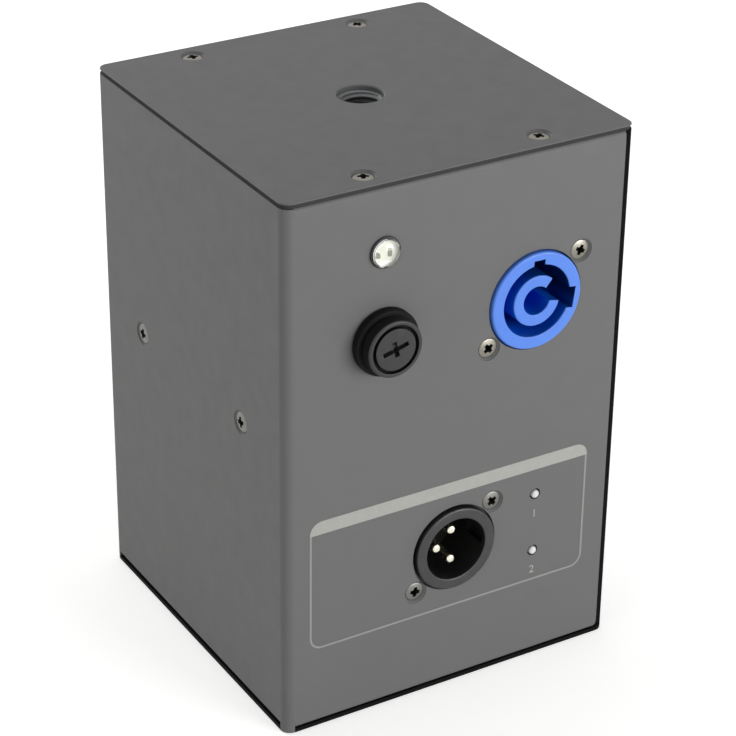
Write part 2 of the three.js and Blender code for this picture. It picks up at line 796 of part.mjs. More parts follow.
const frames = {
  powerInlet: faceFrame('front', inletColumn, powerRow),
  fuse: faceFrame('front', -column, powerRow),
  pilot: faceFrame('front', -column, pilotRow),
  signalInlet: faceFrame('front', 0, signalRow),
  lights: [1, -1].map((way) => faceFrame('front', lights.offset, signalRow + way * lights.pitch / 2)),
  powerOutlets: [-1, 1].map((way) => faceFrame('back', way * column, powerRow)),
  signalOutlets: [-1, 1].map((way) => faceFrame('back', way * column, signalRow)),
  sideScrews: ['left', 'right'].flatMap((side) =>
    [-1, 1].map((way) => faceFrame(side, way * sideScrewAcross, sideScrewRow))),
  topScrews: [],
  baseScrews: []
};
for (const y of [-1, 1]) {
  for (const x of [-1, 1]) {
    const place = [
      x * housing.width * plateScrew.acrossShare, y * (housing.depth / 2 - plateScrew.inset)];
    frames.topScrews.push(plateFrame('top', ...place));
    frames.baseScrews.push(plateFrame('bottom', ...place));
  }
}

const splitter = new THREE.Group();

function add(name, shape, material, frame = splitter, x = 0, y = 0, z = 0) {
  const geometry = shape.isBufferGeometry ? geometryOf(solid(shape)) : geometryOf(shape);
  const mesh = new THREE.Mesh(geometry, material);
  mesh.name = name;
  mesh.position.set(x, y, z);
  frame.add(mesh);
  if (frame !== splitter) splitter.add(frame);
}

function addScrews(name, places, length, frame, z = 0) {
  places.forEach(([x, y], i) => add(`${name}_${i + 1}`, screwBody(length), zinc, frame, x, y, z));
}

const topHoles = frames.topScrews.map((frame) => toolAt(frame, screwHole(screwLength.top)));
const baseHoles = frames.baseScrews.map((frame) => toolAt(frame, screwHole(screwLength.base)));
const bushHole = solid(rod(
  bush.plateHole, plateTop - overrun, housing.height + overrun, segmentCount.medium));

add('body_shell', cut(bodyShell(), ...wallCutOuts(), ...topHoles, ...baseHoles), greyCoat);
add('top_plate', cut(coverPlate(plateTop, housing.height), bushHole, ...topHoles), greyCoat);
add('base_plate', cut(coverPlate(0, housing.basePlate), ...baseHoles), blackCoat);
add('suspension_bush', suspensionBush(), zinc);
add('partition_shelf', partitionShelf(), zinc);
add('supply_board', supplyBoardBody(), boardGreen);
add('supply_module', supplyModuleBody(), blackPlastic);
frames.topScrews.forEach((frame, i) => add(`top_screw_${i + 1}`, screwBody(screwLength.top), zinc, frame));
frames.baseScrews.forEach((frame, i) => add(`base_screw_${i + 1}`, screwBody(screwLength.base), zinc, frame));
frames.sideScrews.forEach((frame, i) => add(`side_screw_${i + 1}`, screwBody(screwLength.side), zinc, frame));

add('power_inlet', powerHousing(), bluePlastic, frames.powerInlet);
contact.angles.forEach((angle, i) => add(
  `power_inlet_contact_${i + 1}`, contactBlade(0).rotateZ(radians(angle)), silvered, frames.powerInlet));
addScrews('power_inlet_screw', powerScrews, screwLength.connector, frames.powerInlet);

add('fuse_holder', fuseHolderBody(), blackPlastic, frames.fuse);
add('fuse_holder_nut', fuseNut(), blackPlastic, frames.fuse);
add('fuse_holder_contact', fuseContact(), silvered, frames.fuse);
add('fuse_carrier', fuseCarrier(), blackPlastic, frames.fuse);
add('fuse_link', fuseLink(), fuseGlass, frames.fuse);
add('fuse_cap', fuseCap(), blackPlastic, frames.fuse);

add('pilot_bezel', pilotBezel(), blackPlastic, frames.pilot);
add('pilot_lens', pilotLens(), clearPlastic, frames.pilot);

add('signal_inlet', inletShell(), blackMetal, frames.signalInlet);
add('signal_inlet_insert', inletInsert(), blackPlastic, frames.signalInlet);
pinPlaces.forEach(([x, y], i) => add(
  `signal_inlet_pin_${i + 1}`, inletPin(), silvered, frames.signalInlet, x, y));
addScrews('signal_inlet_screw', inletScrews, screwLength.connector, frames.signalInlet);
add('signal_board', signalBoardBody(), boardGreen, frames.signalInlet);
frames.lights.forEach((frame, i) => add(`status_light_${i + 1}`, statusLight(), clearPlastic, frame));

frames.powerOutlets.forEach((frame, i) => {
  const name = `power_outlet_${i + 1}`;
  add(name, powerHousing(), greyPlastic, frame);
  addScrews(`${name}_screw`, powerScrews, screwLength.connector, frame);
});
frames.signalOutlets.forEach((frame, i) => {
  const name = `signal_outlet_${i + 1}`;
  add(name, outletShell(), blackMetal, frame);
  add(`${name}_insert`, outletInsert(), blackPlastic, frame);
  add(`${name}_latch`, latchBody(0), zinc, frame);
  addScrews(`${name}_screw`, outletScrews, screwLength.shell, frame, outlet.flange);
});

export default splitter;
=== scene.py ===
from math import cos, pi, radians, sin

import bmesh
import bpy
from mathutils import Matrix, Vector


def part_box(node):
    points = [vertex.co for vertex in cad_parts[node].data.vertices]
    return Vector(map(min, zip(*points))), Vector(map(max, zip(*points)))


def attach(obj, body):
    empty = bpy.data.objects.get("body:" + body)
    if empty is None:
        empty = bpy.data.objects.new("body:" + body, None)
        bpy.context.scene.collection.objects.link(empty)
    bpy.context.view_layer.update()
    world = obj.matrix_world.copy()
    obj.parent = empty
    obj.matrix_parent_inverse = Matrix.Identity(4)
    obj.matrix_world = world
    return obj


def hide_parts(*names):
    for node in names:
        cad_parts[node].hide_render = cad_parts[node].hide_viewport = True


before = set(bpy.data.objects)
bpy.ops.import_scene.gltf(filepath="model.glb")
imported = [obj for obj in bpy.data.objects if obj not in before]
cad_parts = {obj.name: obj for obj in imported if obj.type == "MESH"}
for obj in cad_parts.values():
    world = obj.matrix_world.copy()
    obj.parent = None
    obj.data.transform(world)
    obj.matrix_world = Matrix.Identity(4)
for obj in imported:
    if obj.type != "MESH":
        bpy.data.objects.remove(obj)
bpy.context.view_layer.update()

mm = 0.001
print("frame loaded")


# Camera, floor and light

cameraView = {
    "place": (-278.65, -468.31, 357.16),   # mm, found by fitting the box's edges in the photograph
    "azimuth": -31.03,
    "elevation": 28.28,
    "roll": 0.73,
    "focalPixels": 2565.1,
    "framePixels": 736,
    "sensorWidth": 36,
}


def placeCamera(view):
    data = bpy.data.cameras.new("camera")
    data.sensor_width = view["sensorWidth"]
    data.lens = view["focalPixels"] / view["framePixels"] * view["sensorWidth"]
    data.clip_start = 0.01
    data.clip_end = 50
    camera = bpy.data.objects.new("camera", data)
    bpy.context.scene.collection.objects.link(camera)
    turn = Matrix.Rotation(radians(view["azimuth"]), 4, "Z")
    tilt = Matrix.Rotation(radians(90 - view["elevation"]), 4, "X")
    roll = Matrix.Rotation(radians(view["roll"]), 4, "Z")
    place = Matrix.Translation(Vector(view["place"]) * mm)
    camera.matrix_world = place @ turn @ tilt @ roll
    bpy.context.scene.camera = camera


placeCamera(cameraView)
bpy.context.scene.view_settings.view_transform = "Standard"


def linear(hexColour):      # sRGB hex to linear, with alpha 1
    channels = [int(hexColour[i:i + 2], 16) / 255 for i in (0, 2, 4)]
    return [c / 12.92 if c <= 0.04045 else ((c + 0.055) / 1.055) ** 2.4 for c in channels] + [1]


def addNode(tree, kind, inputs={}, **settings):
    node = tree.nodes.new(kind)
    for name, value in settings.items():
        setattr(node, name, value)
    for name, value in inputs.items():
        if isinstance(value, bpy.types.NodeSocket):
            tree.links.new(value, node.inputs[name])
        else:
            node.inputs[name].default_value = value
    return node


studio = {
    "ambient": 0.29,          # what the room gives to matt surfaces, 1 is white
    "floorFill": 0.14,        # what the floor gives them on top of the light it throws back
    "floorColour": "f2f2f0",
    "floorGlow": 0.5,         # what the camera sees on top of the floor's own light
    "floorSize": 8,
    # name: (place in m, aimed at in m, size in m, share of a full white level)
    "lamps": {
        "keyLamp": ((0.5, -1.0, 0.2), (0, 0, 0.06), 0.65, 0.86),
        "topLamp": ((0.05, 0.2, 1.2), (0, 0, 0.1), 0.8, 0.22),
        "leftLamp": ((-1.1, -0.25, 0.25), (0, 0, 0.07), 0.8, 0.15),
        "backLamp": ((-0.35, 1.2, 0.5), (0, 0, 0.07), 0.8, 0.4),
    },
}


def rayStrength(tree, rays, lighting, shown):     # one strength for lighting, and one for what rays see
    path = addNode(tree, "ShaderNodeLightPath")
    seen = path.outputs[rays[0]]
    for name in rays[1:]:
        larger = addNode(tree, "ShaderNodeMath", {0: seen, 1: path.outputs[name]}, operation="MAXIMUM")
        seen = larger.outputs[0]
    strength = addNode(tree, "ShaderNodeMapRange", {"Value": seen, "To Min": lighting, "To Max": shown})
    return strength.outputs[0]


def buildStudio(values):
    world = bpy.data.worlds.new("room")
    bpy.context.scene.world = world
    world.use_nodes = True
    tree = world.node_tree
    tree.nodes.clear()
    rays = ["Is Camera Ray", "Is Glossy Ray", "Is Transmission Ray"]
    strength = rayStrength(tree, rays, values["ambient"], 1.0)
    background = addNode(tree, "ShaderNodeBackground", {"Color": (1, 1, 1, 1), "Strength": strength})
    addNode(tree, "ShaderNodeOutputWorld", {"Surface": background.outputs[0]})

    bm = bmesh.new()
    bmesh.ops.create_grid(bm, x_segments=1, y_segments=1, size=values["floorSize"] / 2)
    mesh = bpy.data.meshes.new("floor")
    bm.to_mesh(mesh)
    bm.free()
    floor = bpy.data.objects.new("floor", mesh)
    bpy.context.scene.collection.objects.link(floor)
    material = bpy.data.materials.new("paleFloor")
    material.use_nodes = True
    tree = material.node_tree
    tree.nodes.clear()
    glow = rayStrength(tree, rays[:2], values["floorFill"], values["floorGlow"])
    shader = addNode(tree, "ShaderNodeBsdfPrincipled", {
        "Base Color": linear(values["floorColour"]), "Roughness": 0.9, "Specular IOR Level": 0.0,
        "Emission Color": (1, 1, 1, 1), "Emission Strength": glow})
    addNode(tree, "ShaderNodeOutputMaterial", {"Surface": shader.outputs[0]})
    mesh.materials.append(material)

    for name, (place, aim, size, level) in values["lamps"].items():
        lamp = bpy.data.lights.new(name, "AREA")
        lamp.size = size
        reach = Vector(aim) - Vector(place)
        lamp.energy = level * pi ** 2 * reach.length_squared   # this many watts light a matt face fully
        lampObject = bpy.data.objects.new(name, lamp)
        lampObject.location = place
        lampObject.rotation_euler = reach.to_track_quat("-Z", "Y").to_euler()
        bpy.context.scene.collection.objects.link(lampObject)


buildStudio(studio)
print("camera, floor and light placed")


# Finishes. Sizes of patterns are in mm, and scale = 1000 / size on coordinates in metres.

def newFinish(name, colour, metallic=0.0, roughness=0.5, ior=1.5, **sockets):
    material = bpy.data.materials.new(name)
    material.use_nodes = True
    tree = material.node_tree
    shader = tree.nodes["Principled BSDF"]
    shader.inputs["Base Color"].default_value = linear(colour)
    shader.inputs["Metallic"].default_value = metallic
    shader.inputs["Roughness"].default_value = roughness
    shader.inputs["IOR"].default_value = ior
    for socket, value in sockets.items():
        shader.inputs[socket.replace("_", " ")].default_value = value
    coordinates = addNode(tree, "ShaderNodeTexCoord")
    return material, tree, shader, coordinates.outputs["Object"]


def grainBump(tree, shader, place, size, height):     # relief of one grain size, both in mm
    grain = addNode(tree, "ShaderNodeTexNoise", {"Vector": place, "Scale": 1000 / size, "Detail": 2})
    bump = addNode(tree, "ShaderNodeBump", {"Height": grain.outputs["Fac"], "Distance": height * mm})
    tree.links.new(bump.outputs[0], shader.inputs["Normal"])


def mottle(tree, shader, place, size, dark, light):     # slow drift between two colours, patches in mm
    cloud = addNode(tree, "ShaderNodeTexNoise", {"Vector": place, "Scale": 1000 / size, "Detail": 3})
    blend = addNode(tree, "ShaderNodeMix", {"Factor": cloud.outputs["Fac"], "A": linear(dark),
                                            "B": linear(light)}, data_type="RGBA")
    tree.links.new(blend.outputs["Result"], shader.inputs["Base Color"])


def varyRoughness(tree, shader, place, size, low, high):
    cloud = addNode(tree, "ShaderNodeTexNoise", {"Vector": place, "Scale": 1000 / size, "Detail": 4})
    spread = addNode(tree, "ShaderNodeMapRange", {"Value": cloud.outputs["Fac"], "From Min": 0.3,
                                                  "From Max": 0.7, "To Min": low, "To Max": high})
    tree.links.new(spread.outputs[0], shader.inputs["Roughness"])


def powderCoat(name, dark, light, roughness, **sockets):
    # polyester powder coat, oven cured: a satin skin with a fine orange peel of about a millimetre
    material, tree, shader, place = newFinish(name, light, roughness=roughness, ior=1.42, **sockets)
    mottle(tree, shader, place, 14, dark, light)
    varyRoughness(tree, shader, place, 5, roughness - 0.04, roughness + 0.05)
    coarse = addNode(tree, "ShaderNodeTexNoise", {"Vector": place, "Scale": 1000 / 1.1, "Detail": 1})
    fine = addNode(tree, "ShaderNodeTexNoise", {"Vector": place, "Scale": 1000 / 0.25, "Detail": 1})
    relief = addNode(tree, "ShaderNodeMath", {0: fine.outputs["Fac"], 1: 0.35, 2: coarse.outputs["Fac"]},
                     operation="MULTIPLY_ADD")
    bump = addNode(tree, "ShaderNodeBump", {"Height": relief.outputs[0], "Distance": 0.012 * mm})
    tree.links.new(bump.outputs[0], shader.inputs["Normal"])
    return material


def mouldedPlastic(name, dark, light, roughness, grain=0.18, **sockets):
    # injection-moulded polyamide: an even colour with a light spark-eroded grain from the mould
    material, tree, shader, place = newFinish(name, light, roughness=roughness, ior=1.53, **sockets)
    mottle(tree, shader, place, 6, dark, light)
    varyRoughness(tree, shader, place, 2, roughness - 0.05, roughness + 0.06)
    grainBump(tree, shader, place, grain, 0.006)
    return material


def platedMetal(name, dark, light, roughness, grain=0.12):
    # bright plate over steel or brass: clear reflections broken up by fine handling marks
    material, tree, shader, place = newFinish(name, light, metallic=1.0, roughness=roughness)
    mottle(tree, shader, place, 2.5, dark, light)
    varyRoughness(tree, shader, place, 0.8, roughness - 0.06, roughness + 0.1)
    grainBump(tree, shader, place, grain, 0.003)
    return material


def printedInk(name, dark, light):
    # screen-printed ink: thin and matt, with the coat's grain showing through it
    material, tree, shader, place = newFinish(name, light, roughness=0.6)
    mottle(tree, shader, place, 1.2, dark, light)
    grainBump(tree, shader, place, 0.5, 0.008)
    return material


def clearMoulding(name, colour, roughness, ior=1.49):
    # water-clear acrylic: clean glass-like gloss with faint flow ripples
    material, tree, shader, place = newFinish(name, colour, roughness=roughness, ior=ior,
                                              Transmission_Weight=1.0)
    mottle(tree, shader, place, 3, colour, "ffffff")
    grainBump(tree, shader, place, 1.5, 0.004)
    return material


# Painted shade: the colour falls away behind a face, where light reaches less: stops are (from mm, to mm,
# hex colour)
def deepened(finish, face, inwards, stops, gloss, axis="Y", farSide=None):
    material = finish.copy()
    tree = material.node_tree
    shader = tree.nodes["Principled BSDF"]
    colour = shader.inputs["Base Color"].links[0].from_socket
    coordinates = addNode(tree, "ShaderNodeTexCoord")
    axes = addNode(tree, "ShaderNodeSeparateXYZ", {"Vector": coordinates.outputs["Object"]})
    shades = []
    for start, end, deep in stops:
        depth = addNode(tree, "ShaderNodeMapRange", {
            "Value": axes.outputs[axis], "From Min": face + inwards * start * mm,
            "From Max": face + inwards * end * mm})
        shades.append((depth, deep))
    if farSide:     # the side of a recess that lies deepest in its own shade
        centre, direction, start, end, share, deep = farSide
        offset = addNode(tree, "ShaderNodeVectorMath", {0: coordinates.outputs["Object"], 1: centre},
                         operation="SUBTRACT")
        along = addNode(tree, "ShaderNodeVectorMath", {0: offset.outputs[0], 1: direction},
                        operation="DOT_PRODUCT")
        reach = addNode(tree, "ShaderNodeMapRange", {
            "Value": along.outputs["Value"], "From Min": start * mm, "From Max": end * mm, "To Max": share})
        shades.append((reach, deep))
    for shade, deep in shades:
        blend = addNode(tree, "ShaderNodeMix", {"Factor": shade.outputs[0], "A": colour, "B": linear(deep)},
                        data_type="RGBA")
        colour = blend.outputs["Result"]
    tree.links.new(colour, shader.inputs["Base Color"])
    shader.inputs["Specular IOR Level"].default_value = gloss
    return material


def solderMask(name):
    # green solder mask over copper tracks: glossy lacquer with faint raised lines
    material, tree, shader, place = newFinish(name, "1f6b3a", roughness=0.32)
    tracks = addNode(tree, "ShaderNodeTexBrick", {
        "Vector": place, "Scale": 1000 / 9, "Color1": linear("1d6536"), "Color2": linear("206b3a"),
        "Mortar": linear("2f8a4e"), "Mortar Size": 0.05})
    tree.links.new(tracks.outputs["Color"], shader.inputs["Base Color"])
    grainBump(tree, shader, place, 0.6, 0.01)
    return material


def rolledZinc(name):
    # zinc-plated steel sheet: soft spangle a few millimetres wide under a pale passivation
    material, tree, shader, place = newFinish(name, "b4b6b6", metallic=1.0, roughness=0.38)
    spangle = addNode(tree, "ShaderNodeTexVoronoi", {"Vector": place, "Scale": 1000 / 3.5})
    shade = addNode(tree, "ShaderNodeMix", {"Factor": spangle.outputs["Color"], "A": linear("a4a7a9"),
                                            "B": linear("c3c4c2")}, data_type="RGBA")
    tree.links.new(shade.outputs["Result"], shader.inputs["Base Color"])
    varyRoughness(tree, shader, place, 3, 0.3, 0.46)
    return material


greyCoat = powderCoat("satinGreyPowderCoat", "616161", "636363", 0.62)
# matt black for the base plate: painted shade, standing in for the shadow under the box
baseShadowBlack = powderCoat("mattBlackBaseShadow", "070708", "0a0a0b", 0.7, Specular_IOR_Level=0.1)
bluePolyamide = mouldedPlastic("blueMouldedPolyamide", "487bdd", "4f82e1", 0.34)
greyPolyamide = mouldedPlastic("greyMouldedPolyamide", "a6aaad", "aeb2b5", 0.4)
blackPolyamide = mouldedPlastic("blackMouldedPolyamide", "2b2b2c", "323233", 0.4, Specular_IOR_Level=0.28)
# a darker black for the fuse holder and the cap's side: painted shade on sides that face away from the
# light
fuseSideShade = mouldedPlastic("blackPolyamideSideShade", "141415", "18181a", 0.6, Specular_IOR_Level=0.08)
blackInsert = mouldedPlastic("blackGlassFilledInsert", "0c0c0d", "121213", 0.48)
blackChromate = platedMetal("blackChromatedDieCasting", "434344", "4d4d4e", 0.42, grain=0.3)
nickelPlate = platedMetal("nickelPlatedSteel", "78746c", "8f8b82", 0.34)
greyNickel = platedMetal("dullNickelPlatedSteel", "72716e", "84837f", 0.4)
# a darker copy of the nickel plate for the control inlet's screws: painted shade for the dark reflections
# in them
shadedNickel = platedMetal("blackenedScrewSteel", "6b6a67", "7d7c78", 0.38)
silverPlate = platedMetal("silverPlatedBrass", "e6e2cf", "f3efdc", 0.2)
# a darker, rougher copy of silver plate for the mains inlet's contacts: painted shade, so that they throw
# less light about the recess
shadedSilverContact = platedMetal("silverPlateShadedContact", "5c594f", "6d6a5e", 0.5)
zincPlate = platedMetal("dullZincBush", "636465", "6f7071", 0.6, grain=0.25)
zincSheet = rolledZinc("zincPlatedSheet")

# the painted shades for the seam, the groove under the top plate and the screws' recesses, and enamel,
# resin and epoxy, have the same soft grain, and differ in colour and gloss
# black for the closing seam's bead: painted shade for the dark edge at the front's right corner
seamShadeBlack = mouldedPlastic("blackSeamShade", "060606", "09090a", 0.8, Specular_IOR_Level=0.04)
# dark grey for the groove under the top plate: painted shade
grooveShadeGrey = mouldedPlastic("darkGreyGrooveShade", "383838", "3e3e3e", 0.8, Specular_IOR_Level=0.1)
# near black for the screws' cross recesses: painted shade
screwRecessShade = mouldedPlastic("soiledScrewRecess", "141413", "1e1e1c", 0.7, Specular_IOR_Level=0.15)
whiteReflector = mouldedPlastic("whiteLampBoard", "e6e6dc", "f0f0e6", 0.3)
ledDie = mouldedPlastic("oliveLedDie", "6f725c", "7d8069", 0.3)
ledEpoxy = mouldedPlastic("milkyLedEpoxy", "d2d2d4", "dededf", 0.16, grain=0.4)
paleInk = printedInk("paleGreyInk", "999995", "a4a49f")
lineInk = printedInk("fineLineInk", "858584", "8d8d8c")
clearLens = clearMoulding("clearAcrylicLens", "f6f7f2", 0.04)
fuseGlass = clearMoulding("clearFuseGlass", "eef6f3", 0.02, ior=1.52)
greenMask = solderMask("greenSolderMask")
print("finishes made")


# Shapes. Each is drawn in mm, front outwards along z, and put in its place at the end.

def rounded(bm, parts, width, steps, affect="EDGES", **others):
    bmesh.ops.bevel(bm, geom=parts, offset=width, offset_type="OFFSET", segments=steps, profile=0.5,
                    affect=affect, material=-1, **others)
    return bm


# Turned on a lathe from a profile of (radius, height) points, with the corners in rounds rounded
def turned(points, rounds={}, steps=96, roundSteps=4):
    bm = bmesh.new()
    corners = [bm.verts.new((x, 0, z)) for x, z in points]
    for first, second in zip(corners, corners[1:]):
        bm.edges.new((first, second))
    for i, radius in rounds.items():
        rounded(bm, [corners[i]], radius, roundSteps, "VERTICES")
    bmesh.ops.spin(bm, geom=bm.verts[:] + bm.edges[:], cent=(0, 0, 0), axis=(0, 0, 1), angle=2 * pi,
                   steps=steps, use_merge=True)
    bmesh.ops.remove_doubles(bm, verts=bm.verts, dist=1e-4)
    bmesh.ops.recalc_face_normals(bm, faces=bm.faces)
    return bm


def rod(radius, bottom, top, rim=0.0, steps=48):
    rounds = {2: rim} if rim else {}
    return turned([(0, bottom), (radius, bottom), (radius, top), (0, top)], rounds, steps, 3)


def ring(inner, outer, bottom, top, steps):
    return turned([(inner, bottom), (outer, bottom), (outer, top), (inner, top), (inner, bottom)],
                  steps=steps)


# A box whose upright edges are rounded by corner and whose top edges by rim
def block(low, high, corner=0.0, rim=0.0, cornerSteps=8):
    low, high = Vector(low), Vector(high)
    bm = bmesh.new()
    bmesh.ops.create_cube(bm, size=1.0)
    bmesh.ops.scale(bm, vec=high - low, verts=bm.verts)
    bmesh.ops.translate(bm, vec=(low + high) / 2, verts=bm.verts)
    if corner:
        upright = [e for e in bm.edges if abs(e.verts[0].co.z - e.verts[1].co.z) > 1e-4]
        rounded(bm, upright, corner, cornerSteps)
    if rim:
        rounded(bm, [e for e in bm.edges if all(abs(v.co.z - high.z) < 1e-4 for v in e.verts)], rim, 3)
    return bm


def centred(width, depth, bottom, top, *rounding):      # a block with its middle on the z axis
    return block((-width / 2, -depth / 2, bottom), (width / 2, depth / 2, top), *rounding)


def moved(bm, x=0.0, y=0.0, z=0.0, turn=0.0):
    bmesh.ops.transform(bm, matrix=Matrix.Translation((x, y, z)) @ Matrix.Rotation(radians(turn), 4, "Z"),
                        verts=bm.verts)
    return bm


def pick(values, names):      # several of a piece's values at once
    return [values[name] for name in names.split()]


def polar(radius, degrees):
    return radius * cos(radians(degrees)), radius * sin(radians(degrees))


def meshObject(bm, name):
    mesh = bpy.data.meshes.new(name)
    bm.to_mesh(mesh)
    bm.free()
    piece = bpy.data.objects.new(name, mesh)
    bpy.context.scene.collection.objects.link(piece)
    return piece


# The shape with the others cut out of it or joined to it
def combine(bm, others, operation="DIFFERENCE"):
    base = meshObject(bm, "base")
    tools = [meshObject(other, "tool") for other in others]
    for tool in tools:
        modifier = base.modifiers.new("combine", "BOOLEAN")
        modifier.operation = operation
        modifier.solver = "EXACT"
        modifier.object = tool
    bpy.context.view_layer.update()
    evaluated = base.evaluated_get(bpy.context.evaluated_depsgraph_get())
    result = bmesh.new()
    result.from_mesh(evaluated.data)
    for used in [base, *tools]:
        mesh = used.data
        bpy.data.objects.remove(used)
        bpy.data.meshes.remove(mesh)
    bmesh.ops.remove_doubles(result, verts=result.verts, dist=1e-4)
    bmesh.ops.dissolve_degenerate(result, edges=result.edges, dist=1e-4)
    return result


def lowest(edge):
    return min(v.co.z for v in edge.verts)


def softened(bm, width, angle, steps, keep):      # the sharp edges that keep accepts, rounded
    sharp = [e for e in bm.edges if e.is_manifold and e.calc_face_angle(0) > radians(angle) and keep(e)]
    return rounded(bm, sharp, width, steps, clamp_overlap=True)


asDrawn = Matrix.Identity(4)


# Puts a shape in its place as a piece of the object, in metres, with smooth and sharp edges told apart
def finished(bm, name, nodes, finish, place=asDrawn, body="housing", smoothUnder=32):
    bmesh.ops.transform(bm, matrix=place @ Matrix.Scale(mm, 4), verts=bm.verts)
    piece = meshObject(bm, name)
    mesh = piece.data
    mesh.polygons.foreach_set("use_smooth", [True] * len(mesh.polygons))
    mesh.set_sharp_from_angle(angle=radians(smoothUnder))
    weighted = piece.modifiers.new("weightedNormals", "WEIGHTED_NORMAL")
    weighted.keep_sharp = True
    mesh.materials.append(finish)
    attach(piece, body)
    if nodes:
        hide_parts(*nodes)
    return piece


def fineName(node):
    return node.replace("_", "") + "Fine"


# Places, all read from the frame

def middle(node):
    low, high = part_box(node)
    return (low + high) / 2


shellLow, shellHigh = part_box("body_shell")
plateLow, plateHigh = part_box("top_plate")
baseLow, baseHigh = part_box("base_plate")
front, back = shellLow.y, shellHigh.y
halfX, halfY = shellHigh.x / mm, back / mm
shellFoot, shellTop = shellLow.z / mm, shellHigh.z / mm
baseTop, plateTop = baseHigh.z / mm, plateHigh.z / mm

# each face: the axis it crosses, its level on that axis, and the turn that brings z out of it
faces = {
    "front": (1, front, ((1, 0, 0), (0, 0, -1), (0, 1, 0))),
    "back": (1, back, ((-1, 0, 0), (0, 0, 1), (0, 1, 0))),
    "left": (0, shellLow.x, ((0, 0, -1), (-1, 0, 0), (0, 1, 0))),
    "right": (0, shellHigh.x, ((0, 0, 1), (1, 0, 0), (0, 1, 0))),
    "top": (2, plateHigh.z, ((1, 0, 0), (0, 1, 0), (0, 0, 1))),
    "bottom": (2, baseLow.z, ((1, 0, 0), (0, -1, 0), (0, 0, -1))),
}


def facePlace(side, node):      # on the outside of one face, in line with a node's middle, z outwards
    axis, level, turn = faces[side]
    centre = middle(node)
    centre[axis] = level
    return Matrix.Translation(centre) @ Matrix(turn).to_4x4()


# on the front panel, x to the right and y up from the floor
panelPlace = Matrix.Translation((0, front, 0)) @ Matrix(faces["front"][2]).to_4x4()


def fromFront(node):        # a node's rear and front end in mm, out from the front panel
    low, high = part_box(node)
    return (front - high.y) / mm, (front - low.y) / mm


def inHousing(place, shape):        # a cutter put where a piece sits, in the housing's own millimetres
    matrix = Matrix.Scale(1000, 4) @ place @ Matrix.Scale(mm, 4)
    bmesh.ops.transform(shape, matrix=matrix, verts=shape.verts)
    return shape


# Screws: countersunk, with a cross recess

screwShape = {
    "headRadius": 2.4,
    "seatRadius": 2.95,
    "shankRadius": 1.4,
    "shankPlay": 0.12,     # room round the shank in a countersunk seat
    "sunk": 0.5,           # how far the head's edge lies under the sheet's face
    "dome": 0.3,
    "edge": 0.2,           # the head's upright edge, between its dome and its cone
    "recessSpan": 3.1,
    "recessWidth": 1.0,
    "recessCore": 1.7,     # the square where the cross's arms meet
    "recessDepth": 1.6,
    "recessFoot": (0.45, 0.7),     # shares of the recess's span and width left at its floor
    "pitch": 0.5,
    "threadDepth": 0.28,
    "passRadius": 1.52,    # plain hole for it in a connector's flange
}
sideScrewShape = {**screwShape, "sunk": 0.32, "headRadius": 2.5}
screwTurns = (12, 64, 38, 81)    # degrees, chosen so that no two neighbours stand alike


def crossRecess(values):
    floor = values["dome"] - values["sunk"] - values["recessDepth"]
    wings = []
    for turn in (0, 90):
        wing = centred(values["recessSpan"], values["recessWidth"], floor, 0.5)
        foot = [v for v in wing.verts if v.co.z < floor + 0.01]
        bmesh.ops.scale(wing, vec=(*values["recessFoot"], 1), verts=foot)
        wings.append(moved(wing, turn=turn))
    core = values["recessCore"]
    wings.append(moved(centred(core, core, floor - 0.1, 0.5), turn=45))
    return wings


def screwShapeOf(length, turn, values):
    head, shank, sunk, dome, edge, pitch = pick(values, "headRadius shankRadius sunk dome edge pitch")
    coneFoot = -sunk - edge - (head - shank)
    steps = 6
    profile = [(head * i / steps, dome * (1 - (i / steps) ** 2) - sunk) for i in range(steps + 1)]
    profile += [(head, -sunk - edge), (shank, coneFoot)]
    level = coneFoot - pitch
    while level > -length + pitch:      # the thread is drawn as rings, one for each pitch
        profile += [(shank, level), (shank - values["threadDepth"], level - pitch / 2)]
        level -= pitch
    profile += [(shank - 0.3, -length), (0, -length)]
    body = turned(profile, {steps: 0.1}, 40, 3)
    body = combine(body, crossRecess(values))
    for face in body.faces:     # the recess's sides and floor get the painted recess shade
        spot = face.calc_center_median()
        across = spot.xy.length
        domeHere = dome * (1 - (across / head) ** 2) - sunk
        inRecess = across < values["recessSpan"] / 2 and coneFoot < spot.z < domeHere - 0.12
        onItsFloor = across < shank * 0.7 and coneFoot - 0.5 < spot.z <= coneFoot
        if inRecess or onItsFloor:
            face.material_index = 1
    return moved(body, turn=turn)


def screwSeat(depth):       # what a countersunk screw takes out of a sheet
    head, shank, play = pick(screwShape, "seatRadius shankRadius shankPlay")
    shank += play
    return turned([(0, 1), (head, 1), (head, -0.1), (shank, shank - head - 0.1), (shank, -depth),
                   (0, -depth)], steps=40)


def screwSpots(place, screws):      # where screws stand, in the millimetres of the piece that they hold
    spots = [place.inverted() @ middle(screw) for screw in screws]
    return [(spot.x / mm, spot.y / mm) for spot in spots]


def screwBores(place, screws):
    radius = screwShape["passRadius"]
    return [moved(rod(radius, -12, 2, steps=24), x, y) for x, y in screwSpots(place, screws)]


def addScrew(node, side, index, finish=nickelPlate, values=screwShape):
    low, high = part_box(node)
    length = max(high - low) / mm
    lift = {"front": front - low.y, "back": high.y - back}.get(side, 0)
    place = facePlace(side, node) @ Matrix.Translation((0, 0, max(lift, 0)))
    shape = screwShapeOf(length, screwTurns[index % len(screwTurns)], values)
    piece = finished(shape, fineName(node), [node], finish, place)
    # the second slot is the painted shade in the cross recess
    piece.data.materials.append(screwRecessShade)


# Housing: one wrapped sheet, a top plate and a base plate

